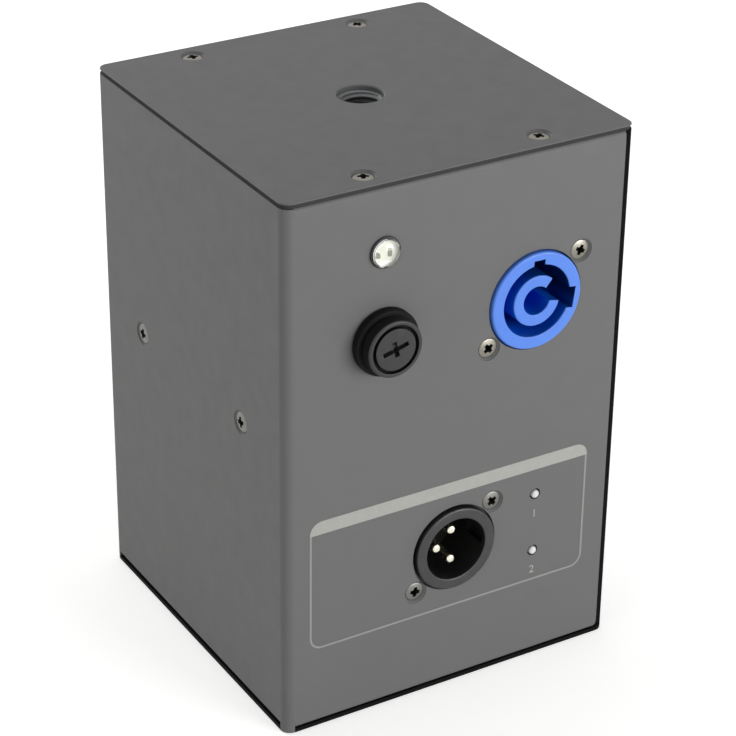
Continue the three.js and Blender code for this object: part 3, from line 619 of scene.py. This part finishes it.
housingShape = {
    "wall": 1.2,
    "bend": 2.5,
    "bendSteps": 12,
    "lipBend": 1.8,
    "lipDepth": 12,
    "lipRelief": 0.06,
    "topGroove": (0.8, 0.2, 0.9),     # depth, and how far down the sheet and up the plate's edge it goes
    "grooveShadeSunk": 0.35,
    "closingSeam": (0.6, 1.9),     # how far it lies in from the right side, and its width
    "seamShadeSunk": 0.35,
    "panelCorner": 2.0,            # the front's lower right corner, beside the seam
    "baseSeam": 1.3,
    "baseNotch": 2.6,
    "cornerFoot": 0.2,             # how far the wrapped sheet's corners end above the floor
    "plateRim": 0.3,
    "baseRim": 0.3,
    "bushHole": 5.5,
    "bushChamfer": 0.25,
    "holes": {                     # radii
        "power": 12.35, "inlet": 11.2, "outlet": 12.0, "fuse": 6.2, "pilot": 3.7, "light": 1.45,
        "screw": 1.6,
    },
    "seatDepths": {"top": 8, "bottom": 6},      # through the plate and the lip behind it
}


def hole(side, node, radius, steps=96):
    return inHousing(facePlace(side, node), rod(radius, -5, 2, steps=steps))


def seat(side, node, depth=5):
    return inHousing(facePlace(side, node), screwSeat(depth))


def wallCuts(radii, depths):     # everything that passes through the walls
    cuts = [
        hole("front", "power_inlet", radii["power"]),
        hole("front", "signal_inlet", radii["inlet"]),
        hole("front", "fuse_holder", radii["fuse"], 48),
        hole("front", "pilot_bezel", radii["pilot"], 48),
        hole("front", "status_light_1", radii["light"], 32),
        hole("front", "status_light_2", radii["light"], 32),
    ]
    for k in (1, 2):
        cuts += [hole("back", f"power_outlet_{k}", radii["power"]),
                 hole("back", f"signal_outlet_{k}_insert", radii["outlet"]),
                 seat("front", f"power_inlet_screw_{k}"), seat("front", f"signal_inlet_screw_{k}")]
        cuts += [seat("back", f"power_outlet_{k}_screw_{i}") for i in (1, 2)]
        cuts += [hole("back", f"signal_outlet_{k}_screw_{i}", radii["screw"], 24) for i in (1, 2)]
    for i in (1, 2, 3, 4):
        cuts += [seat("top", f"top_screw_{i}", depths["top"]),
                 seat("bottom", f"base_screw_{i}", depths["bottom"]),
                 seat("left" if i < 3 else "right", f"side_screw_{i}")]
    return cuts


def inside(values, depth, low, high, rim=0.0):      # a rounded block, depth within the housing's outline
    return centred(2 * (halfX - depth), 2 * (halfY - depth), low, high, values["bend"] - depth, rim,
                   values["bendSteps"])


def topGroove(values):      # cutter for the groove all round under the top plate
    depth, down, up = values["topGroove"]
    return combine(centred(2 * halfX + 2, 2 * halfY + 2, shellTop - down, shellTop + up),
                   [inside(values, depth, shellTop - 3, shellTop + 3)])


def buildShell(values):
    bend, wall = values["bend"], values["wall"]
    bottom, top = shellFoot, shellTop
    reliefHalf = halfX - bend
    lipHalf = reliefHalf - values["lipRelief"]
    lipEnd = halfY - values["lipDepth"]
    foot = baseLow.z / mm + values["cornerFoot"]
    outer = inside(values, 0, foot, top)
    lips = []
    for low, high in ((bottom - 1, bottom + wall), (top - wall, top + 1)):
        for y in (-1, 1):
            reach = sorted((y * lipEnd, y * (halfY + 1)))
            lips.append(block((-lipHalf, reach[0], low), (lipHalf, reach[1], high)))
    room = combine(inside(values, wall, foot - 1, top + 1), lips)
    underFront = centred(2 * reliefHalf, 2 * halfY + 2, foot - 1, bottom)
    underSides = centred(2 * halfX + 2, 2 * (halfY - bend), foot - 1, bottom + values["baseSeam"])
    cuts = [room, underFront, underSides]
    for x in (-1, 1):
        for y in (-1, 1):
            for low, high in ((bottom - 1, bottom + values["lipBend"]), (top - values["lipBend"], top + 1)):
                reachX = sorted((x * lipHalf, x * reliefHalf))
                reachY = sorted((y * (lipEnd - 1), y * (halfY + 1)))
                cuts.append(block((reachX[0], reachY[0], low), (reachX[1], reachY[1], high)))
    inset, width = values["closingSeam"]      # the wrapped sheet's two ends meet here
    edge = halfX - inset - width
    cuts.append(block((edge, -halfY - 1, foot - 1), (halfX - inset, -halfY + bend, top + 1)))
    cuts.append(block((reliefHalf - 0.01, -halfY - 1, foot - 1),
                      (halfX + 1, -halfY + bend + 0.01, bottom)))
    shell = combine(outer, cuts)

    def lipEdge(edge):
        first, second = (v.co for v in edge.verts)
        level = min(abs(first.z - top), abs(first.z - bottom))
        return (abs(first.z - second.z) < 1e-3 and level < 1e-3 and abs(abs(first.y) - halfY) < 1e-3
                and abs(first.y - second.y) < 1e-3 and max(abs(first.x), abs(second.x)) < lipHalf + 1e-3)

    shell = softened(shell, values["lipBend"], 40, 8, lipEdge)
    radius = values["panelCorner"]
    corner = combine(block((edge - radius, bottom - 1, -wall - 0.05), (edge + 0.3, bottom + radius, 1)),
                     [moved(rod(radius, -5, 5, steps=64), edge - radius, bottom + radius)])
    shell = combine(shell, [topGroove(values), inHousing(panelPlace, corner),
                            *wallCuts(values["holes"], values["seatDepths"])])
    finished(shell, "bodyShellFine", ["body_shell"], greyCoat)

    sunk = values["seamShadeSunk"]      # a dark bead of painted shade fills the seam and lies behind the panel's rounded corner
    strip = block((edge + 0.01, -halfY - 1, bottom - 2),
                  (halfX - inset - 0.01, -halfY + bend - 0.02, top - 0.02))
    seamShadePiece = combine(inside(values, sunk, baseTop, top), [strip], "INTERSECT")
    backing = block((edge - radius, -halfY + sunk, baseTop), (edge + 0.5, -halfY + wall, bottom + radius))
    finished(combine(seamShadePiece, [backing], "UNION"), "closingSeamShade", [], seamShadeBlack)


def buildPlates(values):
    top = inside(values, 0, plateLow.z / mm, plateTop, values["plateRim"])
    cuts = [topGroove(values)]
    cuts += [seat("top", f"top_screw_{i}", values["seatDepths"]["top"]) for i in (1, 2, 3, 4)]
    bore, chamfer = values["bushHole"], values["bushChamfer"]
    opening = turned([(0, -3), (bore, -3), (bore, -chamfer), (bore + chamfer, 0), (bore + chamfer, 1),
                      (0, 1)], steps=72)
    cuts.append(moved(opening, z=plateTop))
    finished(combine(top, cuts), "topPlateFine", ["top_plate"], greyCoat)

    depth, down, up = values["topGroove"]      # a dark grey ring of painted shade in the groove makes the line under the plate
    grooveShadePiece = combine(inside(values, values["grooveShadeSunk"], shellTop - down, shellTop + up),
                     [inside(values, depth, shellTop - 3, shellTop + 3)])
    finished(grooveShadePiece, "plateGrooveShade", [], grooveShadeGrey)

    base = inside(values, 0, -baseTop, -baseLow.z / mm, values["baseRim"])      # upside down, then turned
    bmesh.ops.transform(base, matrix=Matrix.Rotation(pi, 4, "X"), verts=base.verts)
    cuts = [seat("bottom", f"base_screw_{i}", values["seatDepths"]["bottom"]) for i in (1, 2, 3, 4)]
    notch = values["baseNotch"]
    for x, y in ((-halfX, -halfY), (-halfX, halfY), (halfX, halfY)):
        cuts.append(block((x - notch, y - notch, -1), (x + notch, y + notch, baseTop + 1)))
    # the base plate in the painted shade's matt black
    finished(combine(base, cuts), "basePlateFine", ["base_plate"], baseShadowBlack)


buildShell(housingShape)
buildPlates(housingShape)
print("housing built")

for i in (1, 2, 3, 4):
    addScrew(f"top_screw_{i}", "top", i)
    addScrew(f"base_screw_{i}", "bottom", i + 1)
    addScrew(f"side_screw_{i}", "left" if i < 3 else "right", i + 2, greyNickel, sideScrewShape)
for k in (1, 2):
    addScrew(f"power_inlet_screw_{k}", "front", k)
    # the control inlet's screws in the darker, shaded copy of the nickel
    addScrew(f"signal_inlet_screw_{k}", "front", k + 1, shadedNickel)
    for i in (1, 2):
        addScrew(f"power_outlet_{k}_screw_{i}", "back", k + i)
        addScrew(f"signal_outlet_{k}_screw_{i}", "back", k + i + 1)
print("screws built")


# Threaded bush under the top plate

bushShape = {
    "boreRadius": 4.3,
    "threadRadius": 5.0,
    "pitch": 1.5,
    "flangeRadius": 11,
    "flange": 2.5,
    "bodyRadius": 9,
    "leadIn": 0.8,
    "turns": 8.6,
    "stepsPerTurn": 36,
    "shade": [(3.0, 4.2, "050505")],     # below the plate's face, the bore is in the dark
}


def threadCutter(values, top):      # a vee swept down a helix, closed at both ends
    bm = bmesh.new()
    pitch, perTurn = values["pitch"], values["stepsPerTurn"]
    crest = values["boreRadius"] - 0.05
    section = [(crest, 0.1), (values["threadRadius"], pitch / 2), (crest, pitch - 0.1)]
    corners = [bm.verts.new((x, 0, top + 0.4 - z)) for x, z in section]
    face = bm.faces.new(corners)
    bmesh.ops.spin(bm, geom=[face], cent=(0, 0, 0), axis=(0, 0, 1), angle=2 * pi * values["turns"],
                   dvec=(0, 0, -pitch / perTurn), steps=int(perTurn * values["turns"]))
    bmesh.ops.remove_doubles(bm, verts=bm.verts, dist=1e-5)
    bmesh.ops.recalc_face_normals(bm, faces=bm.faces)
    return bm


def buildBush(values):
    low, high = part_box("suspension_bush")
    bottom, top = low.z / mm, high.z / mm
    step = top - values["flange"]
    bore, outer, flange, leadIn = pick(values, "boreRadius bodyRadius flangeRadius leadIn")
    body = turned([(bore, bottom), (outer, bottom), (outer, step), (flange, step), (flange, top),
                   (bore + leadIn, top), (bore, top - leadIn), (bore, bottom)], steps=72)
    body = combine(body, [threadCutter(values, top)])
    shaded = deepened(zincPlate, plateHigh.z, -1, values["shade"], 0.5, "Z")
    finished(body, "suspensionBushFine", ["suspension_bush"], shaded)


buildBush(bushShape)
print("bush built")


# Keyed mains connectors

powerShape = {
    "ringRadius": 11.95,
    "ringRim": 0.5,
    "proud": 0.9,
    "grooveOuter": 8.9,
    "coreRadius": 6.2,
    "coreProud": 0.8,
    "grooveDepth": 14,
    "boreRadius": 3.5,
    "boreDepth": 12,
    "mouth": (-12, 50),              # the core is open between these angles
    "keyDepth": 9,
    "narrowKey": (3.0, 10.1, 88.5),     # width, reach and angle
    "wideKey": (5.2, 10.2, -7.5),
    "flange": (31, 26, 4, 2),        # long side, short side, corner and thickness
    "flangeTop": -1.3,
    "rearRadius": 11.8,
    "rearDepth": 24,
    "contactSlot": (6.95, 8.15, 4.4, -3.8),    # from and to radius, width and top
    "recess": (10.6, 0.55),          # faces nearer the middle and deeper than this get the painted recess shade
    # painted shade in the recesses, set by depth, and darker on the inlet's far side
    "blueDepths": [(0.1, 0.6, "0858c4"), (1.0, 4.0, "085cd8")],
    "blueFarSide": ((0.7, 0, 0.7), 2.0, 6.5, 0.86, "000718"),    # direction, from and to, share, colour
    "greyDepths": [(0.3, 1.2, "7c8084"), (3.0, 12.0, "3c3e42")],
}


def sector(reach, start, end, bottom, top, steps=24):       # a slice of a disc between two angles
    bm = bmesh.new()
    corners = ((0, bottom), (reach, bottom), (reach, top), (0, top))
    face = bm.faces.new([bm.verts.new((x, 0, z)) for x, z in corners])
    bmesh.ops.spin(bm, geom=[face], cent=(0, 0, 0), axis=(0, 0, 1), angle=radians(end - start), steps=steps)
    bmesh.ops.remove_doubles(bm, verts=bm.verts, dist=1e-4)
    bmesh.ops.recalc_face_normals(bm, faces=bm.faces)
    return moved(bm, turn=start)


def powerConnector(values):
    proud, core, bore, inner = pick(values, "proud coreProud boreRadius coreRadius")
    outer, wall, neck, flangeTop = pick(values, "grooveOuter ringRadius rearRadius flangeTop")
    floor, boreFloor = proud - values["grooveDepth"], proud - values["boreDepth"]
    flangeLong, flangeShort, corner, thickness = values["flange"]
    flangeBack, rear = flangeTop - thickness, -values["rearDepth"]
    body = turned([
        (0, boreFloor), (bore, boreFloor), (bore, core), (inner, core), (inner, floor), (outer, floor),
        (outer, proud), (wall, proud), (wall, flangeBack), (neck, flangeBack), (neck, rear), (0, rear)],
        {2: 0.25, 3: 0.3, 6: 0.25, 7: values["ringRim"]}, 120, 4)
    flange = centred(flangeLong, flangeShort, flangeBack, flangeTop, corner)
    flange = combine(flange, [rod((outer + wall) / 2, flangeBack - 1, 0, steps=120)])     # left open
    body = combine(body, [flange], "UNION")
    mouthReach = (inner + outer) / 2
    cuts = [sector(mouthReach, *values["mouth"], boreFloor + 0.01, proud + 1)]
    for width, reach, angle in (values["narrowKey"], values["wideKey"]):
        keyway = block((mouthReach, -width / 2, proud - values["keyDepth"]), (reach, width / 2, proud + 1))
        cuts.append(moved(keyway, turn=angle))

    def nearFace(edge):
        return max(v.co.z for v in edge.verts) > -0.6 and lowest(edge) > -1.0

    return softened(combine(body, cuts), 0.16, 55, 2, nearFace)


def buildPowerConnector(node, side, screws, finish, recess, contacts=()):
    place = facePlace(side, node)
    holes = screwBores(place, screws)
    for contact in contacts:
        spot = place.inverted() @ middle(contact)
        angle = Vector((spot.x, spot.y)).angle_signed(Vector((1, 0)))
        inner, outer, width, top = powerShape["contactSlot"]
        holes.append(moved(block((inner, -width / 2, -30), (outer, width / 2, top)), turn=angle * 180 / pi))
    body = combine(powerConnector(powerShape), holes)
    reach, level = powerShape["recess"]
    # faces deep in the recess take the second slot, the painted recess shade
    for face in body.faces:
        spot = face.calc_center_median()
        if spot.xy.length < reach and spot.z < level:
            face.material_index = 1
    piece = finished(body, fineName(node), [node], finish, place)
    piece.data.materials.append(recess)


faceLevel = powerShape["proud"] * mm
# the connectors' recesses get painted shade, darker with depth and on the inlet's far side
blueRecessShade = deepened(bluePolyamide, front - faceLevel, 1, powerShape["blueDepths"], 0.04,
                      farSide=(middle("power_inlet"), *powerShape["blueFarSide"]))
greyRecessShade = deepened(greyPolyamide, back + faceLevel, -1, powerShape["greyDepths"], 0.2)
buildPowerConnector("power_inlet", "front", ["power_inlet_screw_1", "power_inlet_screw_2"],
                    bluePolyamide, blueRecessShade, [f"power_inlet_contact_{i}" for i in (1, 2, 3)])
for k in (1, 2):
    buildPowerConnector(f"power_outlet_{k}", "back", [f"power_outlet_{k}_screw_{i}" for i in (1, 2)],
                        greyPolyamide, greyRecessShade)
print("mains connectors built")


# Fuse holder, its cap, its carrier and the fuse

fuseShape = {
    "flangeRadius": 8, "flange": 2.2, "seat": 0.1,
    "barrelRadius": 6, "barrelDepth": 31, "boreRadius": 4.4, "boreDepth": 27, "stemBore": 1.7,
    "capRadius": 6.85, "capFront": 5.3, "pocket": 4.3, "capWall": 1.1, "running": 0.3,
    "grooveRadius": 5.85, "grooveWidth": 0.85, "grooveDepth": 1.0,
    "slotLength": 6.6, "slotWidth": 1.15, "slotDepth": 1.0, "slotTurn": 15, "crossLength": 3.8,
    "slotCore": 1.5,       # the square where slot and cross meet
    "sideEnd": 0.35,       # how far below the cap's face the painted side shade begins
    "carrierRadius": 4.1, "carrierFront": 3.9, "carrierRear": 9, "clipRadius": 2.75, "clipDepth": 7,
    "linkRadius": 2.6, "linkCap": 5.2, "glassRadius": 2.45, "glassWall": 0.6, "wireRadius": 0.12,
}


def buildFuseHolder(values):
    place = facePlace("front", "fuse_holder")
    flange, seatLevel, stem = pick(values, "flange seat stemBore")
    barrel, rim, bore = pick(values, "barrelRadius flangeRadius boreRadius")
    rear, boreFloor = -values["barrelDepth"], -values["boreDepth"]
    body = turned([
        (stem, rear), (barrel, rear), (barrel, seatLevel), (rim, seatLevel), (rim, flange), (bore, flange),
        (bore, boreFloor), (stem, boreFloor), (stem, rear)], {4: 0.6, 5: 0.2}, 96, 4)
    # the holder takes the painted side shade
    finished(body, "fuseHolderFine", ["fuse_holder"], fuseSideShade, place)

    pocket, capRadius, top, grooveOuter = pick(values, "pocket capRadius capFront grooveRadius")
    capRear, capInside = flange + values["running"], top - values["capWall"]
    cap = turned([
        (pocket, capRear), (capRadius, capRear), (capRadius, top), (0, top), (0, capInside),
        (pocket, capInside), (pocket, capRear)], {2: 0.5}, 120, 4)
    grooveInner, grooveFloor = grooveOuter - values["grooveWidth"], top - values["grooveDepth"]
    length, cross, width, core, turn = pick(values, "slotLength crossLength slotWidth slotCore slotTurn")
    floor = top - values["slotDepth"]
    bars = [moved(centred(length, width, floor, top + 1), turn=turn),
            moved(centred(cross, width, floor, top + 1), turn=turn + 90),
            moved(centred(core, core, floor - 0.2, top + 1), turn=turn + 45)]
    cap = combine(cap, [ring(grooveInner, grooveOuter, grooveFloor, top + 1, 96), *bars])
    cap = softened(cap, 0.07, 50, 2, lambda edge: lowest(edge) > top - 0.05)
    # the cap's side below sideEnd takes the painted side shade
    for face in cap.faces:
        if face.calc_center_median().z < top - values["sideEnd"]:
            face.material_index = 1
    piece = finished(cap, "fuseCapFine", ["fuse_cap"], blackPolyamide, place, "fuse_cap")
    piece.data.materials.append(fuseSideShade)

    radius, clip, head, clipDepth = pick(values, "carrierRadius clipRadius carrierFront clipDepth")
    foot = -values["carrierRear"]
    carrier = turned([(0, head), (radius, head), (radius, foot), (clip, foot), (clip, foot + clipDepth),
                      (0, foot + clipDepth)], {2: 0.3, 3: 0.2}, 72, 3)
    finished(carrier, "fuseCarrierFine", ["fuse_carrier"], blackPolyamide, place,
             "fuse_drawer")

    rearEnd, frontEnd = fromFront("fuse_link")
    glass, glassWall, radius, cap = pick(values, "glassRadius glassWall linkRadius linkCap")
    tube = ring(glass - glassWall, glass, rearEnd + 1, frontEnd - 1, 48)
    finished(tube, "fuseGlassTube", ["fuse_link"], fuseGlass, place, "fuse_drawer")
    for name, start, end, corner in (("fuseFrontEnd", frontEnd - cap, frontEnd, 2),
                                     ("fuseRearEnd", rearEnd, rearEnd + cap, 1)):
        endCap = turned([(0, start), (radius, start), (radius, end), (0, end)], {corner: 0.5}, 48, 4)
        hollowEnds = (start + 0.5, end + 1) if corner == 1 else (start - 1, end - 0.5)
        endCap = combine(endCap, [rod(glass + 0.01, *hollowEnds, steps=48)])
        finished(endCap, name, [], silverPlate, place, "fuse_drawer")
    wire = rod(values["wireRadius"], rearEnd + 0.6, frontEnd - 0.6, steps=12)
    finished(wire, "fuseWire", [], silverPlate, place, "fuse_drawer")


buildFuseHolder(fuseShape)
print("fuse holder built")


# Pilot lamp

pilotShape = {
    "bezelRadius": 3.78, "bezel": 0.5, "barrelRadius": 3.5, "barrelDepth": 8, "boreRadius": 2.9,
    "seat": 0.1, "lensRadius": 3.5, "dome": 1.7, "boardDepth": 1.4,
    "dies": ((1.0, -0.3, 0.75, 1.5), (-1.2, -0.7, 0.8, 0.9)),    # across, up, width and height
}


def buildPilot(values):
    place = facePlace("front", "pilot_bezel")
    bore, barrel, rim, bezel = pick(values, "boreRadius barrelRadius bezelRadius bezel")
    seatLevel, rear = values["seat"], -values["barrelDepth"]
    body = turned([(bore, rear), (barrel, rear), (barrel, seatLevel), (rim, seatLevel), (rim, bezel),
                   (bore, bezel), (bore, rear)], {4: 0.2, 5: 0.08}, 64, 3)
    finished(body, "pilotBezelFine", ["pilot_bezel"], blackPolyamide, place)

    base, stem = bezel + seatLevel, bore - 0.1
    radius, dome, steps = values["lensRadius"], values["dome"], 10
    lensPoints = [(0, base - 1.2), (stem, base - 1.2), (stem, base), (radius, base)]
    lensPoints += [(radius * cos(pi / 2 * i / steps), base + dome * sin(pi / 2 * i / steps))
                   for i in range(1, steps)] + [(0, base + dome)]
    lens = turned(lensPoints, steps=64)
    finished(lens, "pilotLensFine", ["pilot_lens"], clearLens, place, smoothUnder=60)
    boardTop = base - values["boardDepth"]
    board = rod(stem, boardTop - 3, boardTop, 0.05, 64)
    finished(board, "pilotBoard", [], whiteReflector, place)
    for i, (across, up, width, height) in enumerate(values["dies"]):
        die = block((across - width / 2, up - height / 2, boardTop - 0.1),
                    (across + width / 2, up + height / 2, boardTop + 0.12), 0.15, 0.05, 3)
        finished(die, f"pilotDie{i + 1}", [], ledDie, place)


buildPilot(pilotShape)
print("pilot lamp built")


# Three-pin control inlet and its status lights

inletShape = {
    "ringRadius": 10.6, "proud": 1.1, "rim": 0.4, "boreRadius": 7.95, "flangeSize": 28, "corner": 6,
    "flange": 2, "flangeTop": -1.3, "rearRadius": 10.4, "rearDepth": 16.4, "boreFloor": -12,
    "insertRadius": 7.85,
    "key": (3.2, 9.1, 1.6, 8),      # width, reach, how far below the rim it starts and ends
    "pinRadius": 1.2, "pinCircle": 4, "pinAngles": (90, 180, 270),
}


def buildSignalInlet(values):
    place = facePlace("front", "signal_inlet")
    bore, barrel, rim, proud, flangeTop = pick(values, "boreRadius rearRadius ringRadius proud flangeTop")
    rear, flangeBack = -values["rearDepth"], flangeTop - values["flange"]
    body = turned([(bore, rear), (barrel, rear), (barrel, flangeBack), (rim, flangeBack), (rim, proud),
                   (bore, proud), (bore, rear)], {4: values["rim"], 5: 0.3}, 120, 4)
    flange = centred(values["flangeSize"], values["flangeSize"], flangeBack, flangeTop, values["corner"])
    flange = combine(flange, [rod(rim - 0.5, flangeBack - 1, 0, steps=120)])
    body = combine(body, [flange], "UNION")
    width, reach, start, end = values["key"]
    cuts = [block((5, -width / 2, proud - end), (reach, width / 2, proud - start))]
    cuts += screwBores(place, ["signal_inlet_screw_1", "signal_inlet_screw_2"])
    finished(combine(body, cuts), "signalInletFine", ["signal_inlet"], blackChromate, place)

    floor, radius = values["boreFloor"], values["pinRadius"]
    disc = rod(values["insertRadius"], rear, floor, 0.2, 72)
    spots = [polar(values["pinCircle"], angle) for angle in values["pinAngles"]]
    holes = [moved(rod(radius + 0.08, rear - 1, floor + 1, steps=32), x, y) for x, y in spots]
    finished(combine(disc, holes), "signalInletInsertFine", ["signal_inlet_insert"],
             blackInsert, place)
    for i, (x, y) in enumerate(spots):
        node = f"signal_inlet_pin_{i + 1}"
        tail, tip = fromFront(node)
        pin = turned([(0, tail), (radius * 0.6, tail), (radius * 0.6, rear), (radius, rear), (radius, tip),
                      (0, tip)], {4: 0.75}, 48, 6)
        finished(moved(pin, x, y), f"signalInletPin{i + 1}Fine", [node], silverPlate, place,
                 smoothUnder=50)


buildSignalInlet(inletShape)

lightShape = {"radius": 1.02, "proud": 0.5, "collar": 2.1, "collarDepth": 5}


def buildStatusLight(node, values):
    foot, shoulder = fromFront(node)[0], -values["collarDepth"]
    collar, radius, tip = pick(values, "collar radius proud")
    body = turned([(0, foot), (collar, foot), (collar, shoulder), (radius, shoulder), (radius, tip),
                   (0, tip)], {4: 1.2 * tip}, 40, 6)
    place = facePlace("front", node)
    finished(body, fineName(node), [node], ledEpoxy, place, smoothUnder=50)


for i in (1, 2):
    buildStatusLight(f"status_light_{i}", lightShape)
print("control inlet built")


# Latching control outlets on the back

outletShape = {
    "flange": (26, 31, 5, 2.0, 0.5),     # width, height, corner, thickness and rim
    "seat": 0.1, "barrelRadius": 11.8, "barrelDepth": 22, "boreRadius": 9.8, "boreDepth": 14,
    "rearBore": 8.1, "insertRadius": 7.9, "insertSunk": 1.2, "insertDepth": 19,
    "holeRadius": 1.5, "holeCircle": 4, "holeDepth": 12, "holeAngles": (30, 150, 270),
    "key": (3, 1.1),       # width, and how far it stands out of the insert
    "latch": (8.6, 10.2, 14.2), "latchProud": 0.8, "latchPlate": 1.1, "travel": 1.4, "gap": 0.2,
    "stem": (5, 1, 5), "hook": (0.8, 1.2),
}


def latchSolid(values, grow):       # the push tab, or with grow the room that it runs in
    width, low, high = values["latch"]
    thickness = values["flange"][3]
    proud, plateThickness = pick(values, "latchProud latchPlate")
    travel = values["travel"] if grow else 0
    top = thickness + (1 if grow else proud)
    plateBack = thickness + proud - plateThickness - travel - grow / 2
    plate = block((-width / 2 - grow, low - grow, plateBack), (width / 2 + grow, high + grow, top), 0.8,
                  0 if grow else 0.25, 4)
    stemWidth, stemThickness, stemDepth = values["stem"]
    half = stemWidth / 2 + grow
    back = -stemDepth - travel - grow
    frontOfStem = thickness + proud - plateThickness / 2
    stem = block((-half, low - grow, back), (half, low + stemThickness + grow, frontOfStem))
    hookReach, hookLength = values["hook"]
    hookTop = -stemDepth + hookLength + grow
    hook = block((-half, low - hookReach, back), (half, low + stemThickness + grow, hookTop))
    return combine(plate, [stem, hook], "UNION")


def buildSignalOutlet(node, values):
    place = facePlace("back", node + "_insert")
    width, height, corner, thickness, rim = values["flange"]
    seatLevel, rear = values["seat"], -values["barrelDepth"]
    flange = centred(width, height, seatLevel, thickness, corner, rim)
    body = combine(flange, [rod(values["barrelRadius"], rear, seatLevel + 0.5, steps=96)], "UNION")
    floor = thickness - values["boreDepth"]
    holes = [rod(values["boreRadius"], floor, thickness + 1, steps=96),
             rod(values["rearBore"], rear - 1, thickness, steps=72), latchSolid(values, values["gap"])]
    holes += [moved(screwSeat(9), x, y, thickness)
              for x, y in screwSpots(place, [f"{node}_screw_1", f"{node}_screw_2"])]
    body = softened(combine(body, holes), 0.12, 55, 2, lambda edge: lowest(edge) > thickness - 0.02)
    finished(body, fineName(node), [node], blackChromate, place)

    sunk, radius = thickness - values["insertSunk"], values["insertRadius"]
    plug = rod(radius, -values["insertDepth"], sunk, 0.35, 96)
    keyWidth, keyHeight = values["key"]
    key = block((-keyWidth / 2, radius - 1, floor + 0.1), (keyWidth / 2, radius + keyHeight, sunk))
    plug = combine(plug, [key], "UNION")
    bore, mouth, boreEnd = values["holeRadius"], values["holeRadius"] + 0.5, sunk - values["holeDepth"]
    profile = [(0, boreEnd), (bore, boreEnd), (bore, sunk - 0.4), (mouth, sunk + 0.1), (mouth, sunk + 1),
               (0, sunk + 1)]
    holes = [moved(turned(profile, steps=32), *polar(values["holeCircle"], angle))
             for angle in values["holeAngles"]]
    finished(combine(plug, holes), fineName(node + "Insert"), [node + "_insert"],
             blackInsert, place)
    finished(latchSolid(values, 0), fineName(node + "Latch"), [node + "_latch"], nickelPlate,
             place, "latch_" + node[-1])


for k in (1, 2):
    buildSignalOutlet(f"signal_outlet_{k}", outletShape)
print("control outlets built")


# Printing on the front: the frame round the control inlet with its pale bar, and the lights' numbers

printShape = {
    "frame": (-38.6, 36.7, 21.5, 55.6),    # left, right, bottom and top in mm on the panel
    "corner": 3.2, "line": 0.5, "barBottom": 52.2, "ink": 0.03, "numberSize": 3.0, "numberDrop": 5.4,
}


def buildPrinting(values):
    left, right, bottom, top = values["frame"]
    line, ink, corner, split = pick(values, "line ink corner barBottom")
    outer = block((left, bottom, -ink), (right, top, ink), corner)
    inner = block((left + line, bottom + line, -1), (right - line, top - line, 1), corner - line)
    barGap = block((left - 1, split, -1), (right + 1, top + 1, 1))
    finished(combine(outer, [inner, barGap]), "printedFrame", [], lineInk, panelPlace)
    bar = block((left, bottom, -ink), (right, top, ink), corner)
    rest = block((left - 1, bottom - 1, -1), (right + 1, split, 1))
    finished(combine(bar, [rest]), "printedBar", [], paleInk, panelPlace)

    for i in (1, 2):
        text = bpy.data.curves.new(f"number{i}", "FONT")
        text.body = str(i)
        text.size = values["numberSize"]
        text.align_x = "CENTER"
        text.align_y = "CENTER"
        text.extrude = ink
        writer = bpy.data.objects.new("writer", text)
        bpy.context.scene.collection.objects.link(writer)
        bpy.context.view_layer.update()
        bm = bmesh.new()
        bm.from_mesh(writer.evaluated_get(bpy.context.evaluated_depsgraph_get()).to_mesh())
        bpy.data.objects.remove(writer)
        bpy.data.curves.remove(text)
        bmesh.ops.remove_doubles(bm, verts=bm.verts, dist=1e-4)
        spot = middle(f"status_light_{i}")
        number = moved(bm, spot.x / mm, spot.z / mm - values["numberDrop"])
        finished(number, f"lightNumber{i}", [], paleInk, panelPlace)


buildPrinting(printShape)
print("printing built")


# CAD nodes that stay as they are, inside the housing

carriedFinishes = {
    "partition_shelf": zincSheet,
    "supply_board": greenMask,
    "supply_module": blackInsert,
    "signal_board": greenMask,
    "fuse_holder_nut": blackPolyamide,
    "fuse_holder_contact": silverPlate,
    # the mains inlet's contacts in the shaded copy of silver plate
    **{f"power_inlet_contact_{i}": shadedSilverContact for i in (1, 2, 3)},
}
for node, finish in carriedFinishes.items():
    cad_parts[node].material_slots[0].material = finish
